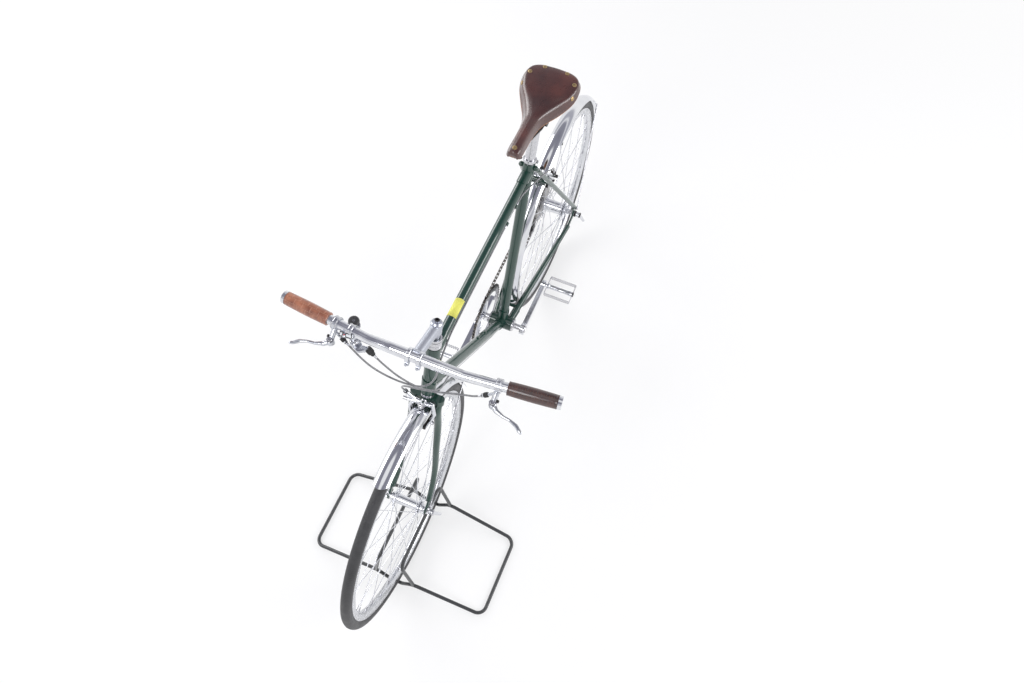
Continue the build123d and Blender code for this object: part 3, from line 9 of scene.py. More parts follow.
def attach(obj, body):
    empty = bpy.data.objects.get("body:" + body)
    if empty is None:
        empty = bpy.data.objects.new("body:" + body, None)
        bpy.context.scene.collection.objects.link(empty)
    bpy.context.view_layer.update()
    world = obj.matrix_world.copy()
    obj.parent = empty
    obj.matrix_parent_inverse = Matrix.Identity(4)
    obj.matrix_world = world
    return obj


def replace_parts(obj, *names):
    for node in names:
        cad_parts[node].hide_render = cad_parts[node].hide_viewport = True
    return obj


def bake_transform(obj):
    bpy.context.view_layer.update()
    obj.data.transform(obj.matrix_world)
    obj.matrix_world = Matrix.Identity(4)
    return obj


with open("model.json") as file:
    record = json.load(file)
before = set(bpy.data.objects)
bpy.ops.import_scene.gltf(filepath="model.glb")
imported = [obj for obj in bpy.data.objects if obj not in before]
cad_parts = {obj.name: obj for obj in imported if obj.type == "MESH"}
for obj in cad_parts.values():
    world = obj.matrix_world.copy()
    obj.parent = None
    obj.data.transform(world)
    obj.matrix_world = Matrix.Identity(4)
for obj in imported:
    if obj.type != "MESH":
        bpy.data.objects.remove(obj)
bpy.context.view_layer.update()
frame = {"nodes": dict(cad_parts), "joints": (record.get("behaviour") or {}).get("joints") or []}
nodes = frame["nodes"]
scene = bpy.context.scene


# ---------------------------------------------------------------- lugged frame and fork
# Steel tubes brazed into pointed lugs, and the fork that turns in the head tube.
# Dark green enamel under a clear gloss coat, sprayed over tubes and lugs together.
def settings(node, values):
    """Sets a node's inputs, named with _ for each space."""
    for key, value in values.items():
        node.inputs[key.replace("_", " ")].default_value = value


def finish(name, colour, metallic, roughness, coat=0.0, **more):
    """A new material with its plain values."""
    made = bpy.data.materials.new(name)
    made.use_nodes = True
    settings(made.node_tree.nodes["Principled BSDF"],
             {"Base_Color": (*colour, 1), "Metallic": metallic, "Roughness": roughness, "Coat_Weight": coat,
              "Coat_Roughness": 0.03, **more})
    return made


def add(material, kind, **values):
    """A node of a material, with some of its inputs set."""
    made = material.node_tree.nodes.new("ShaderNode" + kind)
    settings(made, values)
    return made


def join(material, source, target, entry):
    """Links an output to a node's input."""
    material.node_tree.links.new(source, target.inputs[entry])


def feed(material, source, entry):
    """Links an output to an input of the material's own shader."""
    join(material, source, material.node_tree.nodes["Principled BSDF"], entry)


def place_on(material):
    """Places on the piece, in metres."""
    return add(material, "TexCoord").outputs["Object"]


def grain(material, scale, stretch=(1, 1, 1), detail=5):
    """Random variation over the piece, fine or coarse."""
    spread = add(material, "Mapping", Scale=stretch)
    noise = add(material, "TexNoise", Scale=scale, Detail=detail)
    join(material, place_on(material), spread, "Vector")
    join(material, spread.outputs["Vector"], noise, "Vector")
    return noise.outputs["Fac"]


def ramped(material, source, stops):
    """Colours from a pattern's values, through (position, colour) stops."""
    ramp = add(material, "ValToRGB")
    for index, (position, colour) in enumerate(stops):
        point = ramp.color_ramp.elements[index] if index < 2 else ramp.color_ramp.elements.new(position)
        point.position = position
        point.color = (*colour, 1)
    join(material, source, ramp, "Fac")
    return ramp.outputs["Color"]


def tint(material, source, stops):
    """Colours the piece by a pattern."""
    feed(material, ramped(material, source, stops), "Base Color")


def gloss(material, source, low, high):
    """Varies the roughness by a pattern."""
    reach = add(material, "MapRange", From_Min=0.3, From_Max=0.7, To_Min=low, To_Max=high)
    join(material, source, reach, "Value")
    feed(material, reach.outputs["Result"], "Roughness")


def relief(material, source, strength, depth):
    """Raises the surface by a pattern, on top of what raises it already."""
    bump = add(material, "Bump", Strength=strength, Distance=depth)
    join(material, source, bump, "Height")
    normal = material.node_tree.nodes["Principled BSDF"].inputs["Normal"]
    if normal.is_linked:
        join(material, normal.links[0].from_socket, bump, "Normal")
    feed(material, bump.outputs["Normal"], "Normal")


def dress(names, material):
    """Gives CAD nodes a finish."""
    for name in names:
        nodes[name].data.materials.clear()
        nodes[name].data.materials.append(material)


enamel = finish("green_enamel", (0.002, 0.036, 0.024), 0.0, 0.5, 1.0, Coat_IOR=1.65, Specular_IOR_Level=0.2)
flake = grain(enamel, 2400, detail=2)
tint(enamel, flake, ((0.35, (0.0015, 0.029, 0.019)), (0.65, (0.003, 0.044, 0.03))))
relief(enamel, grain(enamel, 70, detail=2), 0.03, 0.0008)
dress(("head_tube", "top_tube", "down_tube", "seat_tube", "seat_lug", "bottom_bracket_shell", "chainstays",
       "seatstays", "rear_dropouts", "stay_bridges", "fork", "fork_blades"), enamel)


# ---------------------------------------------------------------- turned and knurled fittings
# The binder bolt through the seat lug's ears, of bright plated steel.
# Bolts, nuts and caps everywhere on the bicycle are turned from bar in the same way.
def merge(form, part):
    """Adds a part's mesh to a form."""
    held = bpy.data.meshes.new("held")
    part.to_mesh(held)
    part.free()
    form.from_mesh(held)
    bpy.data.meshes.remove(held)


def placed(place, way):
    """Stands a part on a place, with its own Z along a way."""
    return Matrix.Translation(place) @ Vector(way).to_track_quat("Z", "Y").to_matrix().to_4x4()


def turned(form, profile, place, way, steps=24):
    """Adds a shape turned about a way from a place, from (radius, height) points in millimetres."""
    part = bmesh.new()
    points = [part.verts.new((radius / 1000, 0, height / 1000)) for radius, height in profile]
    edges = [part.edges.new(pair) for pair in zip(points, points[1:])]
    bmesh.ops.spin(part, geom=points + edges, cent=(0, 0, 0), axis=(0, 0, 1), angle=tau, steps=steps,
                   use_merge=True)
    bmesh.ops.remove_doubles(part, verts=part.verts, dist=1e-6)
    bmesh.ops.recalc_face_normals(part, faces=part.faces)
    bmesh.ops.transform(part, matrix=placed(place, way), verts=part.verts)
    merge(form, part)


def knurled(form, place, way, radius, length, ribs=14):
    """Adds a barrel with ribs along it, a little narrower at both ends."""
    part = bmesh.new()
    ring = bmesh.ops.create_circle(part, segments=2 * ribs, radius=radius, cap_ends=True)["verts"]
    for vert in sorted(ring, key=lambda v: atan2(v.co.y, v.co.x))[::2]:
        vert.co.xy *= 0.88
    heights = [0.0, 0.12 * length, 0.88 * length, length]
    faces = list(part.faces)
    for low, high in zip(heights, heights[1:]):
        made = bmesh.ops.extrude_face_region(part, geom=faces)["geom"]
        fresh = [item for item in made if isinstance(item, bmesh.types.BMVert)]
        bmesh.ops.translate(part, vec=(0, 0, high - low), verts=fresh)
        bmesh.ops.delete(part, geom=[face for face in faces if low > 0], context="FACES_ONLY")
        faces = [item for item in made if isinstance(item, bmesh.types.BMFace)]
    for vert in part.verts:
        if vert.co.z < 0.01 * length or vert.co.z > 0.99 * length:
            vert.co.xy *= 0.9
    bmesh.ops.recalc_face_normals(part, faces=part.faces)
    bmesh.ops.transform(part, matrix=placed(place, way), verts=part.verts)
    merge(form, part)


def piece(name, form, material, body, sharp=35):
    """Makes a finished form a piece that rides on a body."""
    mesh = bpy.data.meshes.new(name)
    form.to_mesh(mesh)
    form.free()
    mesh.materials.append(material)
    mesh.shade_smooth()
    mesh.set_sharp_from_angle(angle=radians(sharp))
    made = bpy.data.objects.new(name, mesh)
    scene.collection.objects.link(made)
    if body:
        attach(made, body)
    return made


steel = finish("bright_plate", (0.62, 0.62, 0.65), 1.0, 0.16)
smear = grain(steel, 260)
tint(steel, smear, ((0.3, (0.5, 0.5, 0.53)), (0.7, (0.7, 0.7, 0.72))))
gloss(steel, smear, 0.1, 0.24)
relief(steel, grain(steel, 1500), 0.03, 0.0002)
binder = Vector((-0.2951, 0, 0.8015))
form = bmesh.new()
for side in (1, -1):
    turned(form, ((0, 5.5), (1.6, 5.5), (2, 1.8), (2, 5.2), (4.2, 5.2), (4.6, 4.4), (4.6, 0), (0, 0)),
           binder + Vector((0, side * 0.011, 0)), (0, side, 0))
piece("binder_bolt", form, steel, "frame")

# ---------------------------------------------------------------- headset
# Pressed cups and threaded nuts of chromed steel, with wrench flats cut on the locknut.
# A washer sits between the nuts, and fine turning marks run round all of them.
dress(("headset_cups", "headset_nuts", "seatpost"), steel)
turning = {joint["name"]: joint for joint in frame["joints"]}
head_up = Vector(turning["steering"]["axis"])
head_forward = Vector((head_up.z, 0, -head_up.x))
steer_origin = Vector(turning["steering"]["pos_m"]) - 0.45 * head_up
form = bmesh.new()
turned(form, ((12.8, 0), (16.8, 0), (17.3, 0.8), (17.3, 6.2), (16.5, 7.1), (12.8, 7.1)),
       steer_origin + head_up * 0.5448, head_up, 8)
piece("locknut_flats", form, steel, "steering", 20)
form = bmesh.new()
for height in (0.5275, 0.5302, 0.5329):
    turned(form, ((16.8, 0), (17.6, 0.6), (17.6, 1.2), (16.8, 1.8)),
           steer_origin + head_up * height, head_up, 48)
piece("headset_rings", form, steel, "steering")

# ---------------------------------------------------------------- stem and handlebar
# Forged alloy quill stem with a fine blasted face and two polished clamp bands,
# its steel expander bolt on top, and the polished alloy bar that it grips.
blasted = finish("satin_alloy", (0.5, 0.52, 0.57), 1.0, 0.34)
peen = grain(blasted, 1400)
tint(blasted, peen, ((0.3, (0.44, 0.46, 0.52)), (0.7, (0.56, 0.58, 0.63))))
gloss(blasted, grain(blasted, 60), 0.27, 0.4)
relief(blasted, peen, 0.1, 0.0002)
dress(("stem",), blasted)
polish = finish("polished_alloy", (0.72, 0.73, 0.77), 1.0, 0.12)
smudge = grain(polish, 45)
tint(polish, smudge, ((0.3, (0.66, 0.67, 0.71)), (0.7, (0.78, 0.79, 0.82))))
gloss(polish, smudge, 0.07, 0.17)
relief(polish, grain(polish, 900, (1, 0.06, 1)), 0.04, 0.0001)
dress(("handlebar", "grip_caps"), polish)
black_steel = finish("blacked_steel", (0.04, 0.04, 0.045), 0.9, 0.38)
film = grain(black_steel, 500)
tint(black_steel, film, ((0.3, (0.022, 0.021, 0.023)), (0.7, (0.075, 0.072, 0.075))))
gloss(black_steel, film, 0.28, 0.5)
form = bmesh.new()
turned(form, ((0, 3), (2.8, 3), (3.2, 6), (5.8, 6), (6.3, 5.4), (6.3, 0)),
       steer_origin + head_up * 0.5975, head_up, 32)
piece("expander_bolt", form, black_steel, "steering")
clamp = steer_origin + head_forward * 0.1065 + head_up * 0.58004
form = bmesh.new()
for side in (1, -1):
    band = clamp + Vector((0, side * 0.013, 0))
    turned(form, ((0, 1.2), (1.6, 1.2), (1.9, 4.2), (3.6, 4.2), (4, 3.6), (4, -2)),
           band + head_forward * 0.00835 - head_up * 0.0147, -head_up, 20)
    turned(form, ((16.5, -4.2), (17.1, -3.6), (17.1, 3.6), (16.5, 4.2)), band, (0, 1, 0), 48)
piece("clamp_bands", form, polish, "steering")

# ---------------------------------------------------------------- grips
# Leather rolled round the bar and hand-sewn in long panels, rolled under at both ends.
# The seams sink between the panels and waxed thread crosses them. Painted light: the right grip is painted
# lighter and the left darker.
def worked(material, operation, *entries):
    """The result of one calculation with numbers and other nodes' outputs."""
    made = add(material, "Math")
    made.operation = operation
    for index, entry in enumerate(entries):
        if isinstance(entry, bpy.types.NodeSocket):
            join(material, entry, made, index)
        else:
            made.inputs[index].default_value = entry
    return made.outputs["Value"]


thread = finish("waxed_thread", (0.22, 0.1, 0.055), 0.0, 0.6)
twist = grain(thread, 3000, detail=2)
tint(thread, twist, ((0.3, (0.13, 0.055, 0.03)), (0.7, (0.32, 0.16, 0.09))))
sewn_rows = 8
stitches = 17
half_grip = 0.0535
rolled_radius = 0.0159
# Painted light and shade: one leather in two copies, the left grip painted darker as the shaded one and the
# right grip painted lighter as the lit one.
for side, name, dark, light, line in (
        (1, "grip_left", (0.028, 0.009, 0.008), (0.07, 0.022, 0.017), (0.014, 0.005, 0.004)),
        (-1, "grip_right", (0.2, 0.055, 0.026), (0.44, 0.16, 0.08), (0.62, 0.3, 0.2))):
    low = Vector((0.365, side * 0.207, 0.90473))
    high = Vector((0.35451, side * 0.314, 0.9057))
    way = (high - low).normalized()
    hide = finish(name + "_leather", dark, 0.0, 0.4, 0.7, Coat_Roughness=0.18, Coat_IOR=1.65)
    local = add(hide, "Mapping", Location=low, Rotation=way.to_track_quat("Z", "Y").to_euler())
    local.vector_type = "TEXTURE"
    apart = add(hide, "SeparateXYZ")
    join(hide, place_on(hide), local, "Vector")
    join(hide, local.outputs["Vector"], apart, "Vector")
    angle = worked(hide, "ARCTAN2", apart.outputs["Y"], apart.outputs["X"])
    flat = add(hide, "CombineXYZ")
    join(hide, apart.outputs["Z"], flat, "X")
    join(hide, worked(hide, "MULTIPLY", angle, rolled_radius), flat, "Y")
    panels = add(hide, "TexBrick", Scale=1.0, Mortar_Size=0.0006, Mortar_Smooth=0.9, Brick_Width=0.0205,
                 Row_Height=0.0125)
    panels.offset = 0.5
    join(hide, flat.outputs["Vector"], panels, "Vector")
    worn = grain(hide, 55)
    seam_joint_and_highlight = add(hide, "Mix")
    seam_joint_and_highlight.data_type = "RGBA"
    # Seam line colour: a dark joint on the left grip, and a painted highlight (pale lines) on the right grip.
    seam_joint_and_highlight.inputs[7].default_value = (*line, 1)
    join(hide, panels.outputs["Fac"], seam_joint_and_highlight, "Factor")
    join(hide, ramped(hide, worn, ((0.32, dark), (0.68, light))), seam_joint_and_highlight, 6)
    feed(hide, seam_joint_and_highlight.outputs[2], "Base Color")
    gloss(hide, worn, 0.32, 0.5)
    dip = add(hide, "Invert")
    join(hide, panels.outputs["Fac"], dip, "Color")
    relief(hide, dip.outputs["Color"], 0.8, 0.0006)
    relief(hide, grain(hide, 900, detail=8), 0.35, 0.0003)
    length = (high - low).length * 1000
    form = bmesh.new()
    turned(form, ((11.3, 0.2), (14.1, 0), (15.1, 0.7), (15.4, 2), (15, 3.5), (15.2, 6), (15.6, 20),
                  (15.9, 40), (16, 54), (15.9, 68), (15.6, 87), (15.2, length - 6), (15, length - 3.5),
                  (15.3, length - 2), (15.1, length - 0.7), (14.1, length), (11.3, length)), low, way, 64)
    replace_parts(piece(name, form, hide, "steering"), "grips")
    form = bmesh.new()
    for row in range(sewn_rows):
        out = way.orthogonal().normalized()
        out.rotate(Matrix.Rotation(tau * row / sewn_rows, 3, way))
        for stitch in range(stitches):
            along = 0.009 + stitch * 0.0056
            radius = 0.0152 + 0.0008 * (1 - ((along - half_grip) / half_grip) ** 2)
            spot = low + way * along + out * radius
            slant = (way.cross(out) + way * 0.9).normalized()
            turned(form, ((0, -1.6), (0.4, -0.9), (0.4, 0.9), (0, 1.6)), spot, slant, 5)
    piece(name + "_thread", form, thread, "steering")

# ---------------------------------------------------------------- brake levers
# Cast alloy city levers, tumbled smooth, with steel clamp and pivot screws.
# The cable's barrel adjuster is black moulded plastic with ribs for the fingers.
lever_alloy = finish("tumbled_alloy", (0.6, 0.62, 0.66), 1.0, 0.2)
smudge = grain(lever_alloy, 120)
tint(lever_alloy, smudge, ((0.3, (0.5, 0.52, 0.57)), (0.7, (0.7, 0.71, 0.74))))
gloss(lever_alloy, smudge, 0.14, 0.27)
relief(lever_alloy, grain(lever_alloy, 700), 0.06, 0.0002)
dress(("brake_lever_left", "brake_lever_right"), lever_alloy)
socket_head = ((0, 2.8), (1.5, 2.8), (1.8, 4.5), (3.1, 4.5), (3.5, 3.8), (3.5, 0))
moulding = finish("black_moulding", (0.012, 0.012, 0.013), 0.0, 0.4)
pebble = grain(moulding, 1600)
tint(moulding, pebble, ((0.3, (0.007, 0.007, 0.008)), (0.7, (0.022, 0.022, 0.024))))
gloss(moulding, pebble, 0.3, 0.5)
relief(moulding, pebble, 0.15, 0.0002)
for side, name in ((1, "left"), (-1, "right")):
    at = Vector((0.36681, side * 0.188, 0.90455))
    pivot = at + Vector((0.035, 0, -0.022))
    form = bmesh.new()
    turned(form, ((0, 0.3), (2, 0.3), (2.4, 2.2), (4.6, 2.2), (5.2, 1.6), (5.6, 0)),
           pivot + Vector((0, 0, 0.0084)), (0, 0, 1), 28)
    turned(form, ((7.4, 0), (8.3, 0.9), (8.3, 1.9), (7.4, 2.6)),
           pivot + Vector((0, 0, 0.0048)), (0, 0, 1), 36)
    turned(form, ((15, -5.8), (15.8, -5.2), (15.8, -4), (15.1, -3.4), (15.1, 3.4), (15.8, 4), (15.8, 5.2),
                  (15, 5.8)), at, (-0.09758, side * 0.99519, 0.009), 48)
    piece("lever_fittings_" + name, form, steel, "steering")
    form = bmesh.new()
    turned(form, socket_head, at + Vector((-0.004, side * 0.001, -0.0145)), (-0.25, 0, -1), 20)
    turned(form, socket_head, at + Vector((0.0275, side * 0.0062, -0.0165)), (0, side, 0.15), 20)
    piece("lever_screws_" + name, form, black_steel, "steering")
    form = bmesh.new()
    way = Vector((0.256, -side * 0.82, -0.512)).normalized()
    tip = Vector((0.3885, side * 0.1594, 0.8755))
    knurled(form, tip - way * 0.0142, way, 0.0058, 0.0102, 12)
    turned(form, ((0, 0), (4.5, 0), (4.5, 5.2), (3.9, 6.2), (2.7, 6.4)), tip - way * 0.0044, way, 20)
    piece("lever_adjuster_" + name, form, moulding, "steering")

# ---------------------------------------------------------------- gear shifter
# Die-cast housing on its own clamp, with a black ribbed thumb paddle on a bright hub,
# a little display with pale panes, the lower lever and a ribbed barrel adjuster.
def slab(form, centre, size, turn, edge, segments=3):
    """Adds a block with rounded edges, turned about its own middle."""
    part = bmesh.new()
    bmesh.ops.create_cube(part, size=1)
    bmesh.ops.scale(part, vec=size, verts=part.verts)
    bmesh.ops.bevel(part, geom=part.edges, offset=edge, segments=segments, profile=0.5, affect="EDGES",
                    material=-1)
    bmesh.ops.transform(part, matrix=Matrix.Translation(centre) @ turn.to_4x4(), verts=part.verts)
    merge(form, part)


dress(("gear_shifter",), lever_alloy)
at = Vector((0.37053, -0.15, 0.90421))
paddle = at + Vector((-0.021, -0.007, -0.005))
ribbed = finish("ribbed_rubber", (0.055, 0.055, 0.06), 0.0, 0.5)
scuff = grain(ribbed, 700)
tint(ribbed, scuff, ((0.3, (0.04, 0.04, 0.043)), (0.7, (0.085, 0.085, 0.09))))
relief(ribbed, scuff, 0.3, 0.0003)
crown = paddle + Vector((-0.0015, 0, 0))
form = bmesh.new()
turned(form, ((10.5, -0.4), (12, 1), (12.4, 3), (12.2, 6.6), (11, 8.2), (9, 8.4), (0, 7.8)),
       crown, (0, 0, 1), 48)
rib_pitch = 0.0031
askew = Matrix.Rotation(radians(-28), 3, "Z")
for rib in range(-3, 4):
    chord = 2 * (0.0108 ** 2 - (rib * rib_pitch) ** 2) ** 0.5
    slab(form, crown + Vector((0, 0, 0.0084)) + askew @ Vector((rib * rib_pitch, 0, 0)),
         (0.0014, chord, 0.0030), askew, 0.0004, 2)
piece("shifter_paddle", form, ribbed, "steering")
form = bmesh.new()
way = Vector((0.1003, 0.6516, -0.7519))
tip = Vector((0.3879, -0.095, 0.865))
knurled(form, tip - way * 0.0215, way, 0.0078, 0.0155, 14)
turned(form, ((0, 0), (5.6, 0), (5.4, 5), (4.2, 7.2), (2.7, 7.6)), tip - way * 0.0062, way, 20)
piece("shifter_black_parts", form, moulding, "steering")
form = bmesh.new()
turned(form, ((0, 3.6), (9, 3.6), (11.2, 3), (12, 1.6), (12, -1), (10, -3)),
       paddle + Vector((0.0042, 0.0046, -0.003)), (0, 0, 1), 40)
hub = at + Vector((0.012, 0.012, -0.022))
turned(form, ((0, 1.8), (2.8, 1.8), (3.4, 1), (8.5, 1), (9.8, 0.4), (10.4, 0)),
       hub + Vector((0, 0, 0.0065)), (0, 0, 1), 40)
turned(form, ((15, -5.6), (15.7, -5), (15.7, -3.8), (15.1, -3.2), (15.1, 3.2), (15.7, 3.8), (15.7, 5),
              (15, 5.6)), at, (-0.09758, -0.99519, 0.009), 48)
piece("shifter_bright_parts", form, steel, "steering")
lean = Matrix.Rotation(radians(5.6), 3, "Z") @ Matrix.Rotation(radians(24), 3, "Y")
cell = at + Vector((0.0150, -0.0045, 0.0012))
form = bmesh.new()
slab(form, cell, (0.0125, 0.0300, 0.0092), lean, 0.0028)
piece("shifter_display", form, lever_alloy, "steering")
form = bmesh.new()
slab(form, cell + lean @ Vector((0.0002, -0.0108, 0.0046)), (0.0108, 0.0082, 0.0016), lean, 0.0005)
slab(form, cell + lean @ Vector((0.0002, 0.0062, 0.0046)), (0.0100, 0.0156, 0.0016), lean, 0.0005)
piece("display_frames", form, moulding, "steering")
pane = finish("display_pane", (0.8, 0.82, 0.85), 0.0, 0.08, 1.0)
tint(pane, grain(pane, 200), ((0.3, (0.74, 0.77, 0.8)), (0.7, (0.86, 0.88, 0.9))))
form = bmesh.new()
slab(form, cell + lean @ Vector((0.0002, -0.0108, 0.0053)), (0.0066, 0.0046, 0.0012), lean, 0.0003)
slab(form, cell + lean @ Vector((0.0002, 0.0062, 0.0053)), (0.0054, 0.0116, 0.0012), lean, 0.0003)
piece("display_panes", form, pane, "steering")
signal = finish("red_marker", (0.55, 0.03, 0.02), 0.0, 0.3, 0.5)
tint(signal, grain(signal, 900), ((0.3, (0.45, 0.02, 0.015)), (0.7, (0.65, 0.045, 0.03))))
form = bmesh.new()
turned(form, ((0, 0.9), (1, 0.8), (1.5, 0.4), (1.6, 0)),
       cell + lean @ Vector((0.0002, -0.0042, 0.0046)), lean @ Vector((0, 0, 1)), 20)
piece("display_marker", form, signal, "steering")

# ---------------------------------------------------------------- wheels
# Alloy rims with machined braking tracks, laced with plain steel spokes in plated nipples,
# and narrow tyres of dark rubber with a fine tread and ribbed sidewalls.
dress(("front_hub", "rear_hub", "front_rim", "rear_rim"), polish)


def from_axle(material, axle):
    """Places on the piece from an axle: along the bicycle, across it and up."""
    local = add(material, "VectorMath")
    local.operation = "SUBTRACT"
    local.inputs[1].default_value = axle
    apart = add(material, "SeparateXYZ")
    join(material, place_on(material), local, 0)
    join(material, local.outputs["Vector"], apart, "Vector")
    return tuple(apart.outputs)


def axle_distance(material, axle):
    """Distance out from an axle."""
    ahead, _, above = from_axle(material, axle)
    flat = add(material, "CombineXYZ")
    join(material, ahead, flat, "X")
    join(material, above, flat, "Z")
    reach = add(material, "VectorMath")
    reach.operation = "LENGTH"
    join(material, flat.outputs["Vector"], reach, 0)
    return reach.outputs["Value"]


def ripples(material, source, count):
    """Even waves along a value, as from a turning tool or a tread's grooves."""
    return worked(material, "SINE", worked(material, "MULTIPLY", source, count))


def ringed(name, outline, axle, material, body, steps):
    """A ring turned about a wheel's axle from closed (radius, side) points."""
    form = bmesh.new()
    points = [form.verts.new((axle.x, side, axle.z + radius)) for radius, side in outline]
    edges = [form.edges.new(pair) for pair in zip(points, points[1:] + points[:1])]
    bmesh.ops.spin(form, geom=points + edges, cent=axle, axis=(0, 1, 0), angle=tau, steps=steps,
                   use_merge=True)
    bmesh.ops.recalc_face_normals(form, faces=form.faces)
    return piece(name, form, material, body, 28)


tyre_middle = 0.325
tyre_radius = 0.014
sidewall_grooves = (9, 10, 12)
tyre_outline = []
for index in range(33):
    angle = radians(-142 + index * 284 / 32)
    radius = tyre_radius - (0.0003 if abs(index - 16) in sidewall_grooves else 0.0)
    tyre_outline.append((tyre_middle + radius * cos(angle), radius * sin(angle)))
tyre_outline += [(0.3142, 0.0072), (0.3142, -0.0072)]
half_rim = ((0.3139, 0.0088), (0.3139, 0.0101), (0.3133, 0.0105), (0.3020, 0.0105), (0.3012, 0.0100),
            (0.3004, 0.0105), (0.2990, 0.0103), (0.2966, 0.0082), (0.2942, 0.0056), (0.2931, 0.0030))
rim_outline = [(0.3105, 0.0)] + list(half_rim) + [(0.29305, 0.0)]
rim_outline += [(radius, -side) for radius, side in reversed(half_rim)]
spokes = 32
for name, flanges, hole, core in (("front", (0.033, 0.033), 0.0165, 15.5),
                                  ("rear", (0.034, 0.022), 0.0235, 21.5)):
    axle = Vector(turning[name + "_wheel_spin"]["pos_m"])
    rubber = finish(name + "_rubber", (0.035, 0.035, 0.038), 0.0, 0.5)
    ahead, across, above = from_axle(rubber, axle)
    dust = grain(rubber, 40)
    tint(rubber, dust, ((0.3, (0.026, 0.026, 0.028)), (0.75, (0.055, 0.055, 0.058))))
    gloss(rubber, dust, 0.38, 0.6)
    relief(rubber, ripples(rubber, worked(rubber, "ARCTAN2", above, ahead), 420), 0.35, 0.0004)
    relief(rubber, ripples(rubber, across, 3200), 0.4, 0.0004)
    relief(rubber, grain(rubber, 1300), 0.2, 0.0003)
    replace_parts(ringed(name + "_tyre_tread", tyre_outline, axle, rubber, name + "_wheel", 224),
                name + "_tyre")
    track = finish(name + "_rim_alloy", (0.72, 0.73, 0.76), 1.0, 0.2)
    wear = grain(track, 90)
    tint(track, wear, ((0.3, (0.62, 0.63, 0.66)), (0.7, (0.76, 0.77, 0.8))))
    gloss(track, wear, 0.14, 0.28)
    relief(track, ripples(track, axle_distance(track, axle), 14000), 0.2, 0.0002)
    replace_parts(ringed(name + "_rim_section", rim_outline, axle, track, name + "_wheel", 224),
                name + "_rim")
    form = bmesh.new()
    for index in range(spokes):
        side = 1 if index % 2 == 0 else -1
        pull = 1 if (index // 2) % 2 == 0 else -1
        turn = tau * index / spokes
        flange = flanges[0] if side > 0 else -flanges[1]
        tilt = turn + pull * radians(66)
        head = axle + Vector((-hole * sin(tilt), flange + 0.0016 * pull, hole * cos(tilt)))
        seat = axle + Vector((-0.2929 * sin(turn), side * 0.002, 0.2929 * cos(turn)))
        turned(form, ((0, -0.6), (2.9, -0.6), (3.1, 0.6), (2.1, 1.2), (1.9, 9.5), (1.1, 10.5)),
               seat, head - seat, 8)
    piece(name + "_nipples", form, steel, name + "_wheel")
    form = bmesh.new()
    turn = tau * 0.5 / spokes
    inward = Vector((sin(turn), 0, -cos(turn)))
    turned(form, ((5.2, 0), (5.2, 2.2), (2.9, 2.6), (2.9, 21), (2.4, 22.5), (2.4, 26.2), (0, 26.2)),
           axle - inward * 0.2931, inward, 16)
    piece(name + "_valve", form, steel, name + "_wheel")
    form = bmesh.new()
    knurled(form, axle - inward * 0.2693, inward, 0.0040, 0.0085, 10)
    piece(name + "_valve_cap", form, moulding, name + "_wheel")
    for side, flange in ((1, flanges[0]), (-1, flanges[1])):
        form = bmesh.new()
        turned(form, ((core - 2, 0), (core, 0.8), (core, 1.8), (core - 3, 2.6), (9, 3), (8.6, 1.2)),
               axle + Vector((0, side * (flange + 0.0021), 0)), (0, side, 0), 48)
        piece(name + "_hub_face_" + ("left" if side > 0 else "right"), form, blasted, name + "_wheel")

# ---------------------------------------------------------------- axles and quick releases
# Steel skewers with curved levers on the left, and serrated locknuts against the dropouts.
# Each lever is forged alloy, polished bright.
dress(("front_skewer", "rear_skewer"), polish)
for name, body, face in (("front", "steering", 0.055), ("rear", "frame", 0.0725)):
    axle = Vector(turning[name + "_wheel_spin"]["pos_m"])
    form = bmesh.new()
    for side, out in ((1, 0.0165), (-1, 0.0095)):
        knurled(form, axle + Vector((0, side * (face + 0.0003), 0)), (0, side, 0), 0.0092, 0.0058, 20)
        turned(form, ((8.6, 0), (7.8, 2.4), (5.2, 4.2), (0, 4.6)),
               axle + Vector((0, side * (face + out), 0)), (0, side, 0), 28)
    piece(name + "_release_nuts", form, black_steel if name == "rear" else steel, body)

# ---------------------------------------------------------------- cranks, chainring and pedals
# Cold-forged alloy cranks with a five-armed spider, and a steel ring with blackened teeth.
# Cage pedals turn on the crank ends: bright folded plates with teeth round a slim bright barrel.
dress(("crank_left", "crank_right"), polish)
dress(("crank_spindle", "bottom_bracket_cups"), steel)
ring_steel = finish("ring_steel", (0.5, 0.5, 0.52), 1.0, 0.22)
bracket = Vector(turning["crank_spin"]["pos_m"])
reach = axle_distance(ring_steel, bracket)
tint(ring_steel, reach, ((0.0, (0.6, 0.6, 0.63)), (0.0875, (0.55, 0.55, 0.58)),
                         (0.0925, (0.06, 0.055, 0.055))))
gloss(ring_steel, grain(ring_steel, 300), 0.16, 0.34)
relief(ring_steel, ripples(ring_steel, reach, 6000), 0.15, 0.0002)
dress(("chainring",), ring_steel)
form = bmesh.new()
for index in range(5):
    turn = radians(72 * index + 18)
    spot = bracket + Vector((-0.065 * sin(turn), -0.064, 0.065 * cos(turn)))
    turned(form, ((0, -1), (2.4, -1), (2.8, 1.4), (4.4, 1.4), (5, 0.8), (5, -1)), spot, (0, -1, 0), 20)
for side in (1, -1):
    turned(form, ((0, 1.2), (3.6, 1.2), (4.2, 2.2), (9.8, 2.2), (10.8, 1.2), (11.2, 0)),
           bracket + Vector((0, side * 0.074, 0)), (0, side, 0), 36)
piece("crank_caps", form, steel, "crank")
crank_length = 0.17
plate = 0.0016
cage_middle = 0.121
cage_half = 0.0320
cage_depth = 0.0118
upright = Matrix.Identity(3)
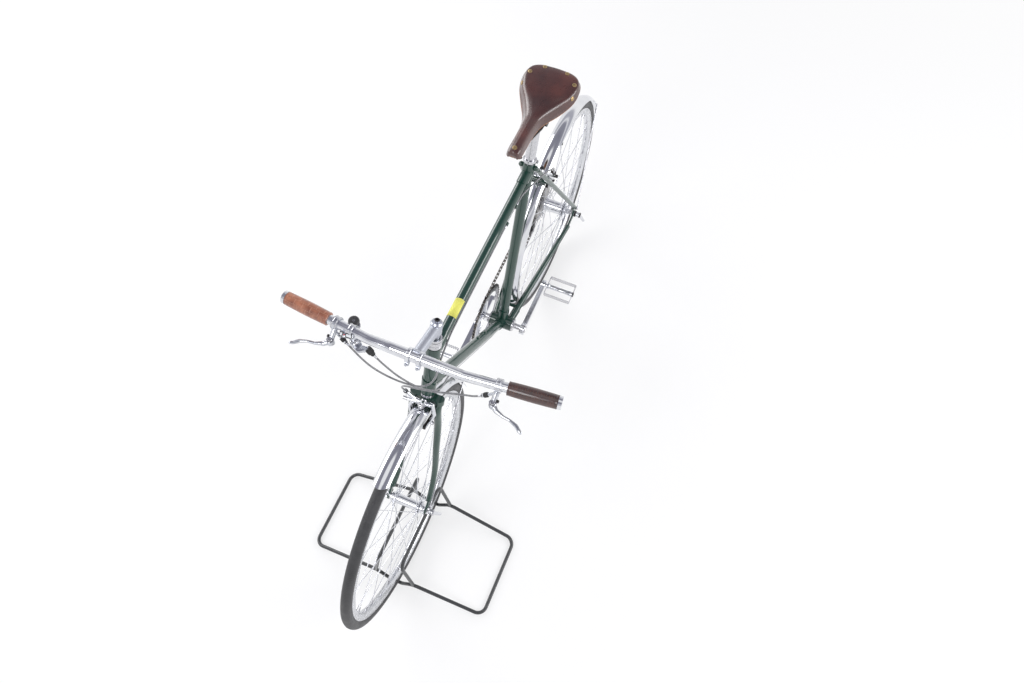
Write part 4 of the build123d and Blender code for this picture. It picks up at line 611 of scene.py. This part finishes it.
for side, name in ((1, "left"), (-1, "right")):
    eye = bracket - Vector((side * crank_length, 0, 0))
    body = f"pedal_{name}_body"
    form = bmesh.new()
    for edge in (1, -1):
        slab(form, eye + Vector((edge * cage_half, side * cage_middle, 0)), (plate, 0.0835, cage_depth),
             upright, 0.0005)
        slab(form, eye + Vector((0, side * (cage_middle + edge * 0.0409), 0)), (0.0636, plate, cage_depth),
             upright, 0.0005)
        for tooth in range(13):
            for top in (1, -1):
                spot = eye + Vector((edge * cage_half, side * (0.0845 + tooth * 0.0061), top * 0.0057))
                turned(form, ((2.1, 0), (1, 2.2), (0, 2.2)), spot, (0, 0, top), 4)
    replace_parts(piece("pedal_cage_" + name, form, steel, body), "pedal_" + name)
    form = bmesh.new()
    turned(form, ((6.4, 0), (9, 0), (9.4, 1), (9.4, 5), (8.8, 6.4), (7, 8.5), (6.8, 30), (6.8, 66), (7.6, 69),
                  (7.6, 79.5), (6.4, 80.5)), eye + Vector((0, side * 0.0803, 0)), (0, side, 0), 36)
    piece("pedal_barrel_" + name, form, polish, body)
    form = bmesh.new()
    turned(form, ((7.8, 0), (7.8, 0.8), (6.8, 2.1), (4.5, 2.5), (0, 2.6)),
           eye + Vector((0, side * 0.1626, 0)), (0, side, 0), 32)
    piece("pedal_dust_cap_" + name, form, moulding, body)

# ---------------------------------------------------------------- chain, sprockets and derailleur
# A bushed roller chain of oiled steel: pairs of inner and outer plates in turn, on pins
# half an inch apart, round the chainring, one sprocket and the derailleur's two pulleys.
oiled = finish("oiled_steel", (0.13, 0.115, 0.105), 1.0, 0.34)
grime = grain(oiled, 220)
tint(oiled, grime, ((0.3, (0.05, 0.042, 0.036)), (0.72, (0.26, 0.24, 0.22))))
gloss(oiled, grime, 0.24, 0.5)
plated = finish("sprocket_plate", (0.42, 0.41, 0.4), 1.0, 0.3)
grime = grain(plated, 150)
tint(plated, grime, ((0.3, (0.2, 0.19, 0.18)), (0.7, (0.52, 0.51, 0.5))))
gloss(plated, grime, 0.2, 0.42)
dress(("cassette",), plated)
dress(("rear_derailleur",), black_steel)
chain_side = Vector((0, -0.052, 0))
half_inch = 0.0127
rear_axle = Vector(turning["rear_wheel_spin"]["pos_m"])
pulleys = ((-0.511, 0.2805), (-0.484, 0.229))
wraps = ((bracket.x, bracket.z, 0.09709, 1), (rear_axle.x, rear_axle.z, 0.03255, 1),
         (*pulleys[0], 0.02, -1), (*pulleys[1], 0.02, 1))
runs = []
for index, (x, z, radius, way) in enumerate(wraps):
    next_x, next_z, next_radius, next_way = wraps[(index + 1) % 4]
    first = way * radius
    second = next_way * next_radius
    heading = atan2(next_z - z, next_x - x) - asin((second - first) / hypot(next_x - x, next_z - z))
    normal = Vector((-sin(heading), 0, cos(heading)))
    runs.append((Vector((x, 0, z)) - normal * first, Vector((next_x, 0, next_z)) - normal * second))
track = []
for index, (x, z, radius, way) in enumerate(wraps):
    arrive = runs[index - 1][1] - Vector((x, 0, z))
    leave = runs[index][0] - Vector((x, 0, z))
    begin = atan2(arrive.z, arrive.x)
    turn = (atan2(leave.z, leave.x) - begin) * way % tau * way
    steps = ceil(abs(turn) * radius / 0.001)
    track += [Vector((x + radius * cos(begin + turn * step / steps), 0,
                      z + radius * sin(begin + turn * step / steps))) for step in range(steps)]
    start, end = runs[index]
    steps = ceil((end - start).length / 0.001)
    track += [start.lerp(end, step / steps) for step in range(steps)]
track.append(track[0])
spans = [(b - a).length for a, b in zip(track, track[1:])]
links = round(sum(spans) / half_inch / 2) * 2
pitch = sum(spans) / links
pins = []
walked = 0.0
for start, end, span in zip(track, track[1:], spans):
    while len(pins) < links and len(pins) * pitch <= walked + span:
        pins.append(start.lerp(end, (len(pins) * pitch - walked) / span))
    walked += span
plate_half_height = 0.0041
plate_corners = 12
plate_faces = ((0.0018, 0.0024), (0.00265, 0.0033))
form = bmesh.new()
for index, pin in enumerate(pins):
    following = pins[(index + 1) % links]
    along = (following - pin).normalized()
    above = Vector((along.z, 0, -along.x))
    middle = (pin + following) / 2
    low, high = plate_faces[index % 2]
    for side in (1, -1):
        part = bmesh.new()
        ring = []
        for step in range(plate_corners):
            turn = tau * (step + 0.5) / plate_corners
            end = 1 if cos(turn) > 0 else -1
            narrow = 0.72 if abs(cos(turn)) < 0.4 else 1.0
            spot = middle + along * (end * pitch / 2 * narrow ** 4 + plate_half_height * cos(turn))
            spot += above * (plate_half_height * sin(turn) * narrow)
            ring.append(part.verts.new(spot + chain_side + Vector((0, side * low, 0))))
        face = part.faces.new(ring)
        made = bmesh.ops.extrude_face_region(part, geom=[face])["geom"]
        bmesh.ops.translate(part, vec=(0, side * (high - low), 0),
                            verts=[item for item in made if isinstance(item, bmesh.types.BMVert)])
        bmesh.ops.recalc_face_normals(part, faces=part.faces)
        merge(form, part)
    turned(form, ((0, -3.5), (1.7, -3.5), (1.7, -1.8), (3.6, -1.8), (3.6, 1.8), (1.7, 1.8), (1.7, 3.5),
                  (0, 3.5)), pin + chain_side, (0, 1, 0), 10)
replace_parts(piece("chain_links", form, oiled, "frame"), "chain")
form = bmesh.new()
pulley_teeth = 11
for x, z in pulleys:
    centre = Vector((x, 0, z)) + chain_side
    for tooth in range(pulley_teeth):
        turn = tau * tooth / pulley_teeth
        out = Vector((cos(turn), 0, sin(turn)))
        turned(form, ((2.2, 0), (1.2, 3.6), (0, 3.8)), centre + out * 0.0168, out, 6)
    for side in (1, -1):
        turned(form, ((0, 1.4), (1.8, 1.4), (2.2, 2.2), (4.6, 2.2), (5.2, 0)),
               centre + Vector((0, side * 0.0057, 0)), (0, side, 0), 20)
piece("pulley_teeth", form, moulding, "frame")

# ---------------------------------------------------------------- mudguards
# Crowned strips of rolled alloy, buffed to a mirror along their length, on steel wire stays.
# The stays' ends are bolted to little tabs inside each strip and to the eyelets.
mirror_alloy = finish("buffed_alloy", (0.74, 0.75, 0.78), 1.0, 0.1)
haze = grain(mirror_alloy, 14)
tint(mirror_alloy, haze, ((0.3, (0.68, 0.69, 0.73)), (0.7, (0.8, 0.81, 0.83))))
gloss(mirror_alloy, haze, 0.06, 0.16)
relief(mirror_alloy, grain(mirror_alloy, 700, (0.2, 1, 0.2)), 0.03, 0.0001)
dress(("front_mudguard", "rear_mudguard"), mirror_alloy)
dress(("front_guard_stays", "rear_guard_stays"), steel)

# ---------------------------------------------------------------- brakes
# Side-pull calipers of forged alloy on a centre bolt, with black rubber blocks in shoes.
# The cable arms carry a black ribbed adjuster above and the cable's clamp bolt below.
dress(("front_brake", "rear_brake"), polish)
block_rubber = finish("block_rubber", (0.014, 0.013, 0.013), 0.0, 0.7)
dust = grain(block_rubber, 500)
tint(block_rubber, dust, ((0.3, (0.009, 0.009, 0.009)), (0.75, (0.03, 0.028, 0.027))))
relief(block_rubber, ripples(block_rubber, grain(block_rubber, 3), 180), 0.3, 0.0004)
dress(("front_brake_pads", "rear_brake_pads"), block_rubber)
feed_way = Vector((0.287, 0, 0.9579))
for name, body, side, out, up, pivot, shoe in (
        ("front", "steering", -1, head_forward, head_up, Vector((0.3743, 0, 0.6688)),
         Vector((0.3934, 0, 0.6176))),
        ("rear", "frame", 1, Vector((-0.8677, 0, 0.497)), Vector((0.497, 0, 0.8677)),
         Vector((-0.3684, 0, 0.67)), Vector((-0.3974, 0, 0.6194)))):
    arm = pivot + Vector((0, side * 0.042, 0)) + out * 0.005
    form = bmesh.new()
    knurled(form, arm + up * 0.022 + feed_way * 0.0035, feed_way, 0.0056, 0.0095, 12)
    piece(name + "_brake_adjuster", form, moulding, body)
    form = bmesh.new()
    turned(form, ((9.4, -1), (9.9, 0), (9.9, 1.2), (7.2, 2.2), (6.6, 2.4), (6.6, 6.2), (5, 7.4), (3.6, 9.6),
                  (0, 10.2)), pivot + out * 0.0088, out, 6)
    turned(form, ((0, 1.6), (1.8, 1.6), (2.2, 3.8), (4, 3.8), (4.5, 3), (4.5, -8)),
           arm + Vector((0, side * 0.0035, 0)), (0, side, 0), 24)
    for way in (1, -1):
        turned(form, ((0, 7.5), (2, 7.5), (3.8, 6.2), (4.5, 4), (4.5, 0)),
               shoe + Vector((0, way * 0.0265, 0)), (0, way, 0), 20)
    piece(name + "_brake_bolts", form, black_steel if name == "rear" else steel, body, 25)
    form = bmesh.new()
    across = Vector((0, 1, 0))
    tangent = (shoe - Vector(turning[name + "_wheel_spin"]["pos_m"])).normalized().cross(across)
    turn = Matrix((tangent, across, tangent.cross(across))).transposed()
    for way in (1, -1):
        slab(form, shoe + Vector((0, way * 0.0216, 0)), (0.0445, 0.0030, 0.0075), turn, 0.0008)
    piece(name + "_brake_shoes", form, blasted, body)


# ---------------------------------------------------------------- cables
# Steel wire in a grey sheath, with a bright ferrule where each run meets a stop.
# The rear brake's and the gears' cross from the turning bar to the frame, each in one fixed shape.
def sheath(points, radius):
    """A round cable on one smooth line, as a mesh form."""
    line = bpy.data.curves.new("line", "CURVE")
    line.dimensions = "3D"
    line.bevel_depth = radius
    line.bevel_resolution = 3
    line.resolution_u = 10
    line.use_fill_caps = True
    route = line.splines.new("NURBS")
    route.points.add(len(points) - 1)
    for point, place in zip(route.points, points):
        point.co = (*place, 1)
    route.order_u = 3
    route.use_endpoint_u = True
    holder = bpy.data.objects.new("line", line)
    mesh = bpy.data.meshes.new_from_object(holder)
    part = bmesh.new()
    part.from_mesh(mesh)
    bmesh.ops.remove_doubles(part, verts=part.verts, dist=1e-6)
    bmesh.ops.recalc_face_normals(part, faces=part.faces)
    bpy.data.objects.remove(holder)
    bpy.data.curves.remove(line)
    bpy.data.meshes.remove(mesh)
    return part


def ferrule(form, points):
    """Adds a stepped metal end where a run begins."""
    turned(form, ((1.1, 0), (2.9, 0), (3, 0.4), (3, 7), (2.7, 9.8), (2.2, 10)),
           points[0], Vector(points[1]) - Vector(points[0]), 18)


casing = finish("grey_sheath", (0.2, 0.2, 0.21), 0.0, 0.35, 0.3)
tone = grain(casing, 120)
tint(casing, tone, ((0.3, (0.16, 0.16, 0.17)), (0.7, (0.26, 0.26, 0.27))))
gloss(casing, tone, 0.28, 0.44)
front_route = ((0.3885, 0.1594, 0.8754), (0.3931, 0.1446, 0.8662), (0.3945, 0.1240, 0.8588),
               (0.3985, 0.0970, 0.8508), (0.4045, 0.0660, 0.8428), (0.4095, 0.0360, 0.8378),
               (0.4115, 0.0100, 0.8328), (0.4095, -0.0120, 0.8198), (0.4025, -0.0280, 0.7918),
               (0.3925, -0.0370, 0.7578), (0.3816, -0.0420, 0.7257), (0.3753, -0.0420, 0.7047))
rear_route = ((0.3885, -0.1594, 0.8754), (0.3931, -0.1446, 0.8662), (0.3940, -0.1300, 0.8428),
              (0.3930, -0.1090, 0.8108), (0.3900, -0.0880, 0.7898), (0.3880, -0.0660, 0.7778),
              (0.3860, -0.0430, 0.7708), (0.3830, -0.0200, 0.7678), (0.3790, 0.0010, 0.7678),
              (0.3705, 0.0160, 0.7688), (0.3570, 0.0240, 0.7698), (0.3400, 0.0260, 0.7728),
              (0.3180, 0.0215, 0.7758), (0.2900, 0.0170, 0.7768), (0.2525, 0.0135, 0.7768),
              (0.2165, 0.0113, 0.7787), (-0.0970, 0.0113, 0.7787))
rear_wire = ((-0.0960, 0.0113, 0.7787), (-0.1641, 0.0113, 0.7787))
rear_tail = ((-0.1631, 0.0113, 0.7787), (-0.1951, 0.0113, 0.7787), (-0.2251, 0.0198, 0.7787),
             (-0.2550, 0.0293, 0.7792), (-0.2881, 0.0383, 0.7757), (-0.3180, 0.0453, 0.7617),
             (-0.3401, 0.0453, 0.7417), (-0.3514, 0.0420, 0.7261), (-0.3577, 0.0420, 0.7050))
gear_route = ((0.3880, -0.0950, 0.8650), (0.3898, -0.0833, 0.8515), (0.3870, -0.0700, 0.8258),
              (0.3840, -0.0520, 0.7958), (0.3800, -0.0340, 0.7738), (0.3760, -0.0160, 0.7558),
              (0.3700, 0.0010, 0.7398), (0.3620, 0.0150, 0.7268), (0.3500, 0.0255, 0.7118),
              (0.3340, 0.0295, 0.6948), (0.3130, 0.0265, 0.6758), (0.2890, 0.0210, 0.6518),
              (0.2660, 0.0170, 0.6280), (0.2531, 0.0170, 0.6155))
gear_wire = ((0.2538, 0.0170, 0.6162), (0.2437, 0.0170, 0.6065), (-0.1020, 0.0040, 0.2465),
             (-0.1220, -0.0060, 0.2475), (-0.1827, -0.0300, 0.2715), (-0.3801, -0.0635, 0.3068),
             (-0.3889, -0.0647, 0.3083))
gear_loop = ((-0.3880, -0.0646, 0.3081), (-0.4056, -0.0670, 0.3111), (-0.4360, -0.0750, 0.3150),
             (-0.4660, -0.0850, 0.3190), (-0.4980, -0.0930, 0.3230), (-0.5300, -0.0980, 0.3255),
             (-0.5620, -0.0990, 0.3260), (-0.5800, -0.0940, 0.3130), (-0.5870, -0.0880, 0.2920),
             (-0.5800, -0.0830, 0.2710), (-0.5620, -0.0800, 0.2580), (-0.5400, -0.0800, 0.2580))
sheath_radius = 0.0022
wire_radius = 0.0008
front_sheath = piece("front_brake_sheath", sheath(front_route, sheath_radius), casing, "steering")
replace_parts(front_sheath, "front_brake_cable")
rear_sheath = piece("rear_brake_sheath", sheath(rear_route, sheath_radius), casing, None)
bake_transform(rear_sheath)
gear_sheath = piece("gear_sheath", sheath(gear_route, sheath_radius), casing, None)
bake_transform(gear_sheath)
tail_sheath = piece("rear_brake_tail", sheath(rear_tail, sheath_radius), casing, "frame")
loop_sheath = piece("gear_loop_sheath", sheath(gear_loop, sheath_radius), casing, "frame")
form = sheath(rear_wire, wire_radius)
merge(form, sheath(gear_wire, wire_radius))
bare = piece("inner_wires", form, steel, "frame")
for shown in (rear_sheath, tail_sheath, bare):
    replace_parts(shown, "rear_brake_cable")
for shown in (gear_sheath, loop_sheath, bare):
    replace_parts(shown, "gear_cable")
for body, runs in (("steering", (front_route, front_route[::-1], rear_route, gear_route)),
                   ("frame", (rear_tail, rear_tail[::-1], gear_loop, gear_loop[::-1], rear_route[::-1],
                              gear_route[::-1]))):
    form = bmesh.new()
    for run in runs:
        ferrule(form, run)
    piece("ferrules_" + body, form, steel, body)

# ---------------------------------------------------------------- saddle
# One piece of thick saddle leather, wetted and stretched over a steel frame, then waxed.
# Brass rivets hold it to the cantle and nose, and its skived edge is left bare and tan.
hide = finish("waxed_hide", (0.06, 0.014, 0.011), 0.0, 0.34, 1.0, Coat_Roughness=0.25)
burnish = grain(hide, 16)
tint(hide, burnish, ((0.28, (0.036, 0.009, 0.008)), (0.55, (0.07, 0.017, 0.013)),
                     (0.78, (0.12, 0.03, 0.02))))
gloss(hide, grain(hide, 90), 0.24, 0.38)
pores = add(hide, "TexVoronoi", Scale=1100.0)
join(hide, place_on(hide), pores, "Vector")
relief(hide, pores.outputs["Distance"], 0.12, 0.0003)
relief(hide, grain(hide, 260, detail=8), 0.16, 0.0004)
skived = finish("cut_edge", (0.45, 0.19, 0.075), 0.0, 0.6)
fibre = grain(skived, 700)
tint(skived, fibre, ((0.3, (0.33, 0.13, 0.05)), (0.7, (0.58, 0.27, 0.12))))
relief(skived, fibre, 0.3, 0.0003)
suede = finish("flesh_side", (0.2, 0.085, 0.04), 0.0, 0.85)
fibre = grain(suede, 500)
tint(suede, fibre, ((0.3, (0.13, 0.05, 0.025)), (0.7, (0.27, 0.12, 0.06))))
relief(suede, fibre, 0.5, 0.0005)
# row, then share of the length from the nose, half width, rise, and the skirt's drop and half width
saddle_stations = (
    (0.00, 0.004, 0.0090, -0.0200, 0.0030, 0.0100), (0.03, 0.000, 0.0100, -0.0130, 0.0095, 0.0115),
    (0.06, 0.004, 0.0122, -0.0065, 0.0155, 0.0138), (0.09, 0.016, 0.0150, -0.0025, 0.0195, 0.0168),
    (0.13, 0.045, 0.0172, -0.0005, 0.0220, 0.0192), (0.18, 0.100, 0.0174, 0.0000, 0.0230, 0.0197),
    (0.26, 0.190, 0.0168, -0.0005, 0.0240, 0.0198), (0.38, 0.320, 0.0178, -0.0020, 0.0250, 0.0212),
    (0.49, 0.450, 0.0230, -0.0040, 0.0280, 0.0285), (0.60, 0.600, 0.0430, -0.0035, 0.0320, 0.0500),
    (0.71, 0.740, 0.0660, 0.0005, 0.0275, 0.0698), (0.81, 0.860, 0.0712, 0.0025, 0.0190, 0.0736),
    (0.89, 0.940, 0.0625, 0.0028, 0.0140, 0.0650), (0.945, 0.978, 0.0455, 0.0015, 0.0115, 0.0475),
    (0.98, 0.996, 0.0275, -0.0015, 0.0080, 0.0290), (1.00, 1.000, 0.0130, -0.0075, 0.0025, 0.0140))


def eased(stations, share):
    """Values at a share of the way through stations, on smooth curves."""
    index = max(1, next((i for i, row in enumerate(stations) if row[0] >= share - 1e-9), len(stations) - 1))
    before, after = stations[index - 1], stations[index]
    earlier, later = stations[max(index - 2, 0)], stations[min(index + 1, len(stations) - 1)]
    span = after[0] - before[0]
    t = (share - before[0]) / span
    values = []
    for column in range(1, len(before)):
        rate = (after[column] - earlier[column]) / (after[0] - earlier[0]) * span
        next_rate = (later[column] - before[column]) / (later[0] - before[0]) * span
        values.append((2 * t ** 3 - 3 * t ** 2 + 1) * before[column] + (t ** 3 - 2 * t ** 2 + t) * rate
                      + (3 * t ** 2 - 2 * t ** 3) * after[column] + (t ** 3 - t ** 2) * next_rate)
    return values


form = bmesh.new()
bmesh.ops.create_grid(form, x_segments=52, y_segments=36, size=1)
for vert in form.verts:
    row = (1 - vert.co.x) / 2
    across = vert.co.y
    if 0.005 < min(row, 1 - row) < 0.025:
        row = 0.004 if row < 0.5 else 0.996
    if 0.94 < abs(across) < 0.95:
        across *= 0.972 / abs(across)
    share, half, rise, drop, skirt = eased(saddle_stations, row)
    round_off = min(0.8 * half, 0.024, 0.6 * drop)
    dome = 0.05 * half
    flank = [(skirt, -drop), (half + (skirt - half) * 0.3, -dome - 1.15 * round_off),
             (half - 0.27 * round_off, -dome - 0.34 * round_off), (half - round_off, -dome),
             ((half - round_off) * 0.5, -dome * 0.3), (0.0, 0.0)]
    cross = [(index / 5 - 1, -out, height) for index, (out, height) in enumerate(flank)]
    cross += [(1 - index / 5, out, height) for index, (out, height) in reversed(list(enumerate(flank[:-1])))]
    out, height = eased(cross, across)
    vert.co = (-0.29723 + 0.1445 * (1 - 2 * share), out, 0.98453 + rise + height)
for face in form.faces:
    if len(face.verts) == 4 and any(edge.is_boundary for edge in face.edges):
        face.material_index = 1
bmesh.ops.recalc_face_normals(form, faces=form.faces)
form.normal_update()
top = max(form.faces, key=lambda face: face.calc_center_median().z)
if top.normal.z < 0:
    bmesh.ops.reverse_faces(form, faces=form.faces)
form.normal_update()
surface = BVHTree.FromBMesh(form)
leather = piece("saddle_leather", form, hide, "frame", 180)
for side_below in (skived, suede):
    leather.data.materials.append(side_below)
wall = leather.modifiers.new("thickness", "SOLIDIFY")
wall.thickness = 0.0044
wall.offset = -1
wall.material_offset_rim = 1
wall.material_offset = 2
soften = leather.modifiers.new("smooth", "SUBSURF")
soften.levels = 1
soften.render_levels = 1
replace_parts(leather, "saddle")
brass = finish("brass", (0.5, 0.36, 0.18), 1.0, 0.36)
patina = grain(brass, 420)
tint(brass, patina, ((0.3, (0.32, 0.22, 0.1)), (0.72, (0.6, 0.45, 0.25))))
gloss(brass, patina, 0.26, 0.5)
form = bmesh.new()
rivets = [(-0.167, 0.0)] + [(x, side * y) for x, y in ((-0.430, 0.029), (-0.4035, 0.0575), (-0.371, 0.0655))
                            for side in (1, -1)]
for x, y in rivets:
    spot, normal, _, _ = surface.ray_cast(Vector((x, y, 1.2)), Vector((0, 0, -1)))
    turned(form, ((5.5, -1.2), (5.7, 0), (5.4, 0.7), (4, 1.3), (2.2, 1.6), (0, 1.7)), spot, normal, 24)
piece("saddle_rivets", form, brass, "frame")
dress(("saddle_frame",), black_steel)

# ---------------------------------------------------------------- wheel stand
# A floor stand bent from round steel wire, with two hoops that hold the front wheel upright.
# It is powder coated in a dark satin grey.
powder = finish("powder_coat", (0.03, 0.032, 0.034), 0.0, 0.36, 0.4)
peel = grain(powder, 900)
tint(powder, peel, ((0.3, (0.02, 0.022, 0.024)), (0.7, (0.045, 0.047, 0.05))))
gloss(powder, peel, 0.34, 0.52)
relief(powder, peel, 0.25, 0.0003)
dress(("stand_base", "stand_hoops"), powder)

# ---------------------------------------------------------------- label
# A blank yellow paper label stuck across the top tube behind the head lug.
# Its face is matt, on a very thin sheet.
paper = finish("yellow_paper", (0.8, 0.78, 0.14), 0.0, 0.55)
fibres = grain(paper, 500)
tint(paper, fibres, ((0.3, (0.76, 0.74, 0.12)), (0.7, (0.84, 0.82, 0.18))))
relief(paper, fibres, 0.1, 0.0002)
form = bmesh.new()
turn = radians(64)
tube_middle = 0.79002
tube_radius = 0.0129
points = [form.verts.new((x, -tube_radius * sin(turn), tube_middle + tube_radius * cos(turn)))
          for x in (0.152, 0.203)]
edge = form.edges.new(points)
bmesh.ops.spin(form, geom=points + [edge], cent=(0, 0, tube_middle), axis=(1, 0, 0), angle=-2 * turn,
               steps=24)
bmesh.ops.recalc_face_normals(form, faces=form.faces)
if max(form.faces, key=lambda face: face.calc_center_median().z).normal.z < 0:
    bmesh.ops.reverse_faces(form, faces=form.faces)
label = piece("blank_label", form, paper, "frame")
sheet = label.modifiers.new("thickness", "SOLIDIFY")
sheet.thickness = 0.00015
sheet.offset = 1

# ---------------------------------------------------------------- floor and light
# A plain white floor that mirrors see as white too, a soft lamp ahead and a long one at each side.
# The sky between the lamps is darker overhead, which draws the tubes' edges.
form = bmesh.new()
bmesh.ops.create_grid(form, x_segments=1, y_segments=1, size=14)
white = finish("floor", (0.93, 0.93, 0.93), 0.0, 0.9, Specular_IOR_Level=0.1)
floor = piece("floor", form, white, None)
seen = add(white, "LightPath").outputs
looked_at = worked(white, "ADD", seen["Is Camera Ray"], seen["Is Glossy Ray"])
shown = worked(white, "ADD", looked_at, seen["Is Transmission Ray"])
shown.node.use_clamp = True
away = add(white, "VectorMath")
away.operation = "LENGTH"
join(white, place_on(white), away, "Vector")
fade = add(white, "MapRange", From_Min=1.2, From_Max=4.0, To_Min=0.6, To_Max=1.0)
fade.interpolation_type = "SMOOTHSTEP"
join(white, away.outputs["Value"], fade, "Value")
blend = add(white, "MixShader")
join(white, worked(white, "MULTIPLY", shown, fade.outputs["Result"]), blend, "Fac")
join(white, white.node_tree.nodes["Principled BSDF"].outputs["BSDF"], blend, 1)
join(white, add(white, "Emission", Color=(1, 1, 1, 1)).outputs["Emission"], blend, 2)
join(white, blend.outputs["Shader"], white.node_tree.nodes["Material Output"], "Surface")

world = bpy.data.worlds.new("studio")
scene.world = world
world.use_nodes = True
height = add(world, "SeparateXYZ")
join(world, add(world, "TexCoord").outputs["Generated"], height, "Vector")
pale = (1, 1, 1)
bands = ((0.26, pale), (0.34, (0.5, 0.5, 0.55)), (0.5, (0.5, 0.5, 0.55)), (0.57, pale),
         (0.64, (0.36, 0.36, 0.41)), (0.86, (0.26, 0.26, 0.31)), (0.945, (0.3, 0.3, 0.35)), (0.965, pale))
sky = ramped(world, height.outputs["Z"], bands)
join(world, sky, world.node_tree.nodes["Background"], "Color")
for name, place, size, depth, power in (("front_lamp", (2.4, -0.4, 3.0), 1.2, 1.2, 30),
                                        ("right_lamp", (-0.6, -3.0, 1.9), 3.6, 1.4, 70),
                                        ("left_lamp", (-0.5, 3.0, 2.1), 3.0, 1.1, 60)):
    lamp = bpy.data.lights.new(name, "AREA")
    lamp.shape = "RECTANGLE"
    lamp.size = size
    lamp.size_y = depth
    lamp.energy = power
    holder = bpy.data.objects.new(name, lamp)
    scene.collection.objects.link(holder)
    holder.location = place
    holder.rotation_euler = (Vector((0, 0, 0.4)) - Vector(place)).to_track_quat("-Z", "Y").to_euler()

# ---------------------------------------------------------------- camera
# Looks down on the bicycle from ahead of the handlebar and a little to the rider's left.
# A slightly wide lens, with no shift and no depth of field.
lens = bpy.data.cameras.new("camera")
lens.lens = 30.06
lens.sensor_width = 36.0
lens.clip_start = 0.05
camera = bpy.data.objects.new("camera", lens)
scene.collection.objects.link(camera)
right = Vector((-0.383055, 0.923476, 0.021474))
up = Vector((-0.80987, -0.34693, 0.473023))
back = Vector((0.444275, 0.163802, 0.880788))
camera.matrix_world = Matrix((
    (right.x, up.x, back.x, 1.06489),
    (right.y, up.y, back.y, 0.46890),
    (right.z, up.z, back.z, 2.49822),
    (0, 0, 0, 1)))
scene.camera = camera
scene.view_settings.view_transform = "Standard"
